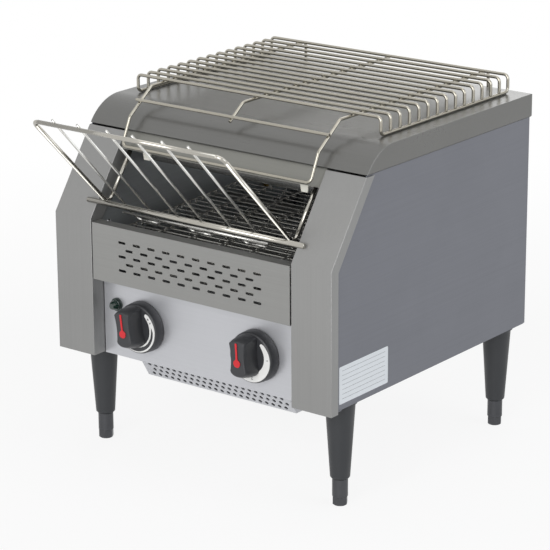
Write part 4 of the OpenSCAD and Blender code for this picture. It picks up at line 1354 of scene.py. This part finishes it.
@dataclass
class Screws:
    """The housing's screws and nuts: one cross-recessed head and one nut, copied to their places.

    The recess's length and width are shares of the head's radius. What is wider than nut_least is a nut.
    """

    radius: float = 3.0 * MM
    ball: float = 4.35 * MM
    sink: float = 2.7 * MM
    rim: float = 0.1 * MM
    recess: float = 0.85 * MM
    recess_shares: Flat = (0.62, 0.15)
    edge: float = 0.12 * MM
    steps: int = 32
    dome_steps: int = 8
    nut_least: float = 10.0 * MM
    nut_flats: float = 13.0 * MM
    nut_corners: float = 1.155
    nut_bore: float = 8.2 * MM
    nut_height: float = 5.0 * MM
    nut_chamfer: float = 0.6 * MM
    nut_steps: int = 24

    def head(self) -> Object:
        """Makes one domed head that faces along Z.

        Returns:
            The head, with its back just below the origin.
        """
        start = math.degrees(math.acos(self.radius / self.ball))
        dome = [(r, h - self.sink) for r, h in arc((0, 0), self.ball, start, 90, self.dome_steps)]
        top = dome.pop()[1]
        shape = bmesh.new()
        lathe(shape, [(0, -self.rim), (self.radius, -self.rim), *dome, (0, top)], Vector(), Vector((0, 0, 1)),
              self.steps)
        head = from_bmesh("screw_head", shape)
        long, wide = (self.radius * share for share in self.recess_shares)
        half = [(long, -wide), (long, wide), (wide, wide), (wide, long), (-wide, long), (-wide, wide)]
        shape = bmesh.new()
        prism(shape, half + [(-a, -b) for a, b in half], lambda a, b, d: Vector((a, b, d)),
              (top - self.recess, top + self.recess))
        cutter = from_bmesh("screw_recess", shape, False)
        cut = head.modifiers.new("Recess", "BOOLEAN")
        cut.operation, cut.solver, cut.object = "DIFFERENCE", "EXACT", cutter
        applied(bevel(head, self.edge, angle=CURVED_ANGLE))
        bpy.data.objects.remove(cutter)
        return head

    def nut(self) -> Object:
        """Makes one hexagonal nut.

        Returns:
            The nut, which stands on the origin.
        """
        shape = bmesh.new()

        def ring(height: float, reach: float) -> list[BMVert]:
            """Adds points along the hexagon.

            Args:
                height: Their height.
                reach: The greatest distance from the axis.

            Returns:
                The points.
            """
            made = []
            for k in range(self.nut_steps):
                angle = 360 * k / self.nut_steps
                flat = self.nut_flats / 2 / math.cos(math.radians((angle + 30) % 60 - 30))
                made.append(shape.verts.new((*polar(min(flat, reach), angle), height)))
            return made
        top, lip, bore = self.nut_height, self.nut_chamfer / 2, self.nut_bore / 2
        corner = self.nut_flats / 2 * self.nut_corners
        trimmed = corner - self.nut_chamfer
        rings = [ring(height, reach) for height, reach in (
            (0, bore), (0, trimmed), (lip, corner), (top - lip, corner), (top, trimmed), (top, bore))]
        skin(shape, rings + rings[:1], False)
        return from_bmesh("hexagon_nut", shape, False)

    def build(self) -> int:
        """Copies and dresses the screws and nuts.

        Returns:
            How many there are.
        """
        heads, nuts, chamber, scale = [], [], [], 1.0
        lift = self.ball - self.sink
        for first, last in islands("housing_screws"):
            spot, size = (first + last) / 2, last - first
            thin = min(range(3), key=lambda i: size[i])
            if size.x > self.nut_least:
                nuts.append((Vector((spot.x, spot.y, first.z)), Vector()))
            elif thin == 0:
                scale = size.y / 2 / self.radius
                chamber.append((Vector((last.x - lift * scale, spot.y, spot.z)), Vector((0, math.pi / 2, 0))))
            elif thin == 1:
                heads.append((Vector((spot.x, last.y - lift, spot.z)), Vector((-math.pi / 2, 0, 0))))
            else:
                heads.append((Vector((spot.x, spot.y, first.z + lift)), Vector((math.pi, 0, 0))))
        head, nut = self.head(), self.nut()
        for name, places, shape, factor in (("panel_screws", heads, head, 1.0),
                                            ("chamber_screw", chamber, head, scale),
                                            ("pan_nuts", nuts, nut, 1.0)):
            piece = grown(points_object(name, places), Repeats.copies, Shape=shape, Size=factor,
                          Finish=BRIGHT.material())
            dress(piece, BRIGHT, body_of("housing_screws"), ("housing_screws",))
        bpy.data.objects.remove(head)
        bpy.data.objects.remove(nut)
        return len(heads) + len(nuts) + len(chamber)


@dataclass
class Works:
    """What lies inside the housing: shafts, wheels, chain, motor, fan and electrics."""

    def build(self) -> int:
        """Dresses the nodes.

        Returns:
            How many there are.
        """
        return sum(keep(finish, *nodes) for finish, *nodes in (
            (MACHINED, "drive_shaft", "idler_shaft", "drive_sprockets", "idler_sprockets", "chain_wheel",
             "drive_chain", "motor_sprocket"),
            (BRONZE, "drive_bushes", "idler_bushes"),
            (MOTOR_PAINT, "gear_motor"),
            (BLACK_PLASTIC, "fan_frame", "fan_rotor", "speed_regulator", "selector_switch", "cable_gland"),
            (BOARD_GREEN, "speed_control_board"),
            (CERAMIC, "terminal_block")))


@dataclass
class Label:
    """A plain film label with ruled lines, for the owner to write on, on the right side panel."""

    width: float = 84.5 * MM
    height: float = 40.0 * MM
    corner: float = 1.5 * MM
    corner_steps: int = 4
    front: float = 15.0 * MM
    bottom: float = 123.0 * MM
    thickness: float = 0.12 * MM
    margin: float = 5.0 * MM
    line_gap: float = 5.0 * MM
    line_width: float = 0.35 * MM
    line_shares: Flat = (0.9, 1.15)

    def place(self, along: float, up: float, depth: float) -> Vector:
        """Place of a point of the label, measured from its lower front corner and the panel."""
        return Vector((high("right_side_panel").x + depth, low("right_pillar").y + self.front + along,
                       self.bottom + up))

    def build(self) -> int:
        """Builds the film and its lines.

        Returns:
            How many lines there are.
        """
        near, right, top = self.corner, self.width - self.corner, self.height - self.corner
        outline = []
        for quarter, centre in enumerate(((right, top), (near, top), (near, near), (right, near))):
            outline += arc(centre, near, 90 * quarter, 90 * quarter + 90, self.corner_steps)
        shape = bmesh.new()
        prism(shape, outline, self.place, (0, self.thickness))
        dress(from_bmesh("side_label", shape, False), LABEL_PAPER, body_of("right_side_panel"))
        shape = bmesh.new()
        first, last = self.margin, self.width - self.margin
        count = int((self.height - self.margin) / self.line_gap)
        for row in range(count):
            up = self.margin + row * self.line_gap
            over = up + self.line_width
            prism(shape, [(first, up), (last, up), (last, over), (first, over)], self.place,
                  [self.thickness * share for share in self.line_shares])
        dress(from_bmesh("label_lines", shape, False), GREY_PRINT, body_of("right_side_panel"))
        return count


# ---------------------------------------------------------------- studio

@dataclass(frozen=True)
class Lamp:
    """A square area lamp that looks at the toaster."""

    name: str
    place: Point
    size: float
    power: float
    color: Color = (1.0, 1.0, 1.0)
    target: Point = (0.0, 0.0, 0.2)

    def build(self) -> None:
        """Adds the lamp."""
        light = bpy.data.lights.new(self.name, "AREA")
        light.shape, light.size, light.energy, light.color = "SQUARE", self.size, self.power, self.color
        made = add_object(self.name, light)
        made.location = self.place
        made.rotation_euler = (Vector(self.target) - Vector(self.place)).to_track_quat("-Z", "Y").to_euler()


@dataclass
class Studio:
    """Camera, lamps, white background and floor."""

    place: Point = (1.6083, -2.06562, 1.0228)
    yaw: float = -37.83
    pitch: float = 17.56
    roll: float = -0.32
    lens: float = 166.62
    sensor: float = 36.0
    sight: Flat = (0.05, 40.0)
    floor_size: float = 14.0
    floor_shade: float = 0.86
    floor_fade: Flat = (0.5, 1.3)
    floor_glow: Flat = (0.88, 1.0)
    ambient: float = 0.35
    lamps: tuple[Lamp, ...] = (
        Lamp("key_lamp", (0.9, -3.3, 1.25), 2.4, 78.0),
        Lamp("side_lamp", (3.4, 0.6, 1.5), 2.2, 30.0, (0.9, 0.95, 1.0)),
        Lamp("top_lamp", (0.3, 0.3, 3.2), 2.2, 15.0),
        Lamp("rear_lamp", (-1.2, 2.8, 1.6), 1.6, 10.0),
    )

    def camera(self) -> None:
        """Adds the camera: yaw turns it to the left, pitch looks down."""
        yaw, pitch, roll = (math.radians(v) for v in (self.yaw, self.pitch, self.roll))
        ahead = Vector((math.sin(yaw) * math.cos(pitch), math.cos(yaw) * math.cos(pitch), -math.sin(pitch)))
        right = Vector((math.cos(yaw), -math.sin(yaw), 0))
        up = right.cross(ahead)
        level = right * math.cos(roll) + up * math.sin(roll)
        upright = -right * math.sin(roll) + up * math.cos(roll)
        data = bpy.data.cameras.new("camera")
        data.lens, data.sensor_width, data.sensor_fit = self.lens, self.sensor, "HORIZONTAL"
        data.clip_start, data.clip_end = self.sight
        made = add_object("camera", data)
        made.matrix_world = (Matrix.Translation(self.place)
                             @ Matrix((level, upright, -ahead)).transposed().to_4x4())
        bpy.context.scene.camera = made

    @staticmethod
    def seen(tree: Tree) -> NodeSocket:
        """Picks out the rays that show the background: camera, glossy and transmission rays.

        Args:
            tree: The tree that takes the nodes.

        Returns:
            A socket that is 1 for these rays.
        """
        path = tree.add("ShaderNodeLightPath")
        glossy = tree.math("MAXIMUM", path.outputs["Is Camera Ray"], path.outputs["Is Glossy Ray"])
        return tree.math("MAXIMUM", glossy, path.outputs["Is Transmission Ray"])

    def world(self) -> None:
        """Makes the world white where it is seen, and dimmer where it lights."""
        made = bpy.data.worlds.new("studio")
        bpy.context.scene.world = made
        made.use_nodes = True
        tree = Tree(made.node_tree)
        back = made.node_tree.nodes["Background"]
        back.inputs["Color"].default_value = (1, 1, 1, 1)
        tree.link(tree.ramp(self.seen(tree), (0, 1), (self.ambient, 1.0)), back.inputs["Strength"])

    def floor(self) -> None:
        """Adds the pale floor: it takes the toaster's shadow and fades to white further out."""
        half = self.floor_size / 2
        mesh = bpy.data.meshes.new("floor")
        mesh.from_pydata([(-half, -half, 0), (half, -half, 0), (half, half, 0), (-half, half, 0)], [],
                         [(0, 1, 2, 3)])
        made = add_object("floor", mesh)
        material = bpy.data.materials.new("Floor")
        material.use_nodes = True
        tree = Tree(material.node_tree)
        material.node_tree.nodes.remove(material.node_tree.nodes["Principled BSDF"])
        matt = tree.add("ShaderNodeBsdfDiffuse", in_Color=(*[self.floor_shade] * 3, 1))
        glow = tree.add("ShaderNodeEmission", in_Color=(1, 1, 1, 1), in_Strength=1.0)
        place = tree.add("ShaderNodeTexCoord").outputs["Object"]
        reach = tree.add("ShaderNodeVectorMath", operation="LENGTH")
        tree.link(place, reach.inputs[0])
        share = tree.ramp(reach.outputs["Value"], self.floor_fade, self.floor_glow)
        mixed = tree.add("ShaderNodeMixShader")
        tree.link(tree.math("MULTIPLY", share, self.seen(tree)), mixed.inputs["Fac"])
        tree.link(matt.outputs[0], mixed.inputs[1])
        tree.link(glow.outputs[0], mixed.inputs[2])
        tree.link(mixed.outputs[0], material.node_tree.nodes["Material Output"].inputs["Surface"])
        mesh.materials.append(material)

    def build(self) -> None:
        """Builds the studio."""
        self.camera()
        self.world()
        self.floor()
        for lamp in self.lamps:
            lamp.build()
        bpy.context.scene.view_settings.view_transform = "Standard"


def main() -> None:
    """Builds the studio and the toaster's pieces, in order."""
    logging.basicConfig(level=logging.INFO, format="%(name)s: %(message)s")
    Studio().build()
    Effects.build()
    Repeats.build()
    for name, assembly in (
            ("housing sheets", Housing()), ("chamber pieces", Chamber()), ("belt strands", WireBelt()),
            ("controls", Controls()), ("rack nodes", Racks()), ("legs", Supports()),
            ("screws and nuts", Screws()), ("inner nodes", Works()), ("label lines", Label())):
        LOG.info("%s: %d", name, assembly.build())


if __name__ == "__main__":
    main()
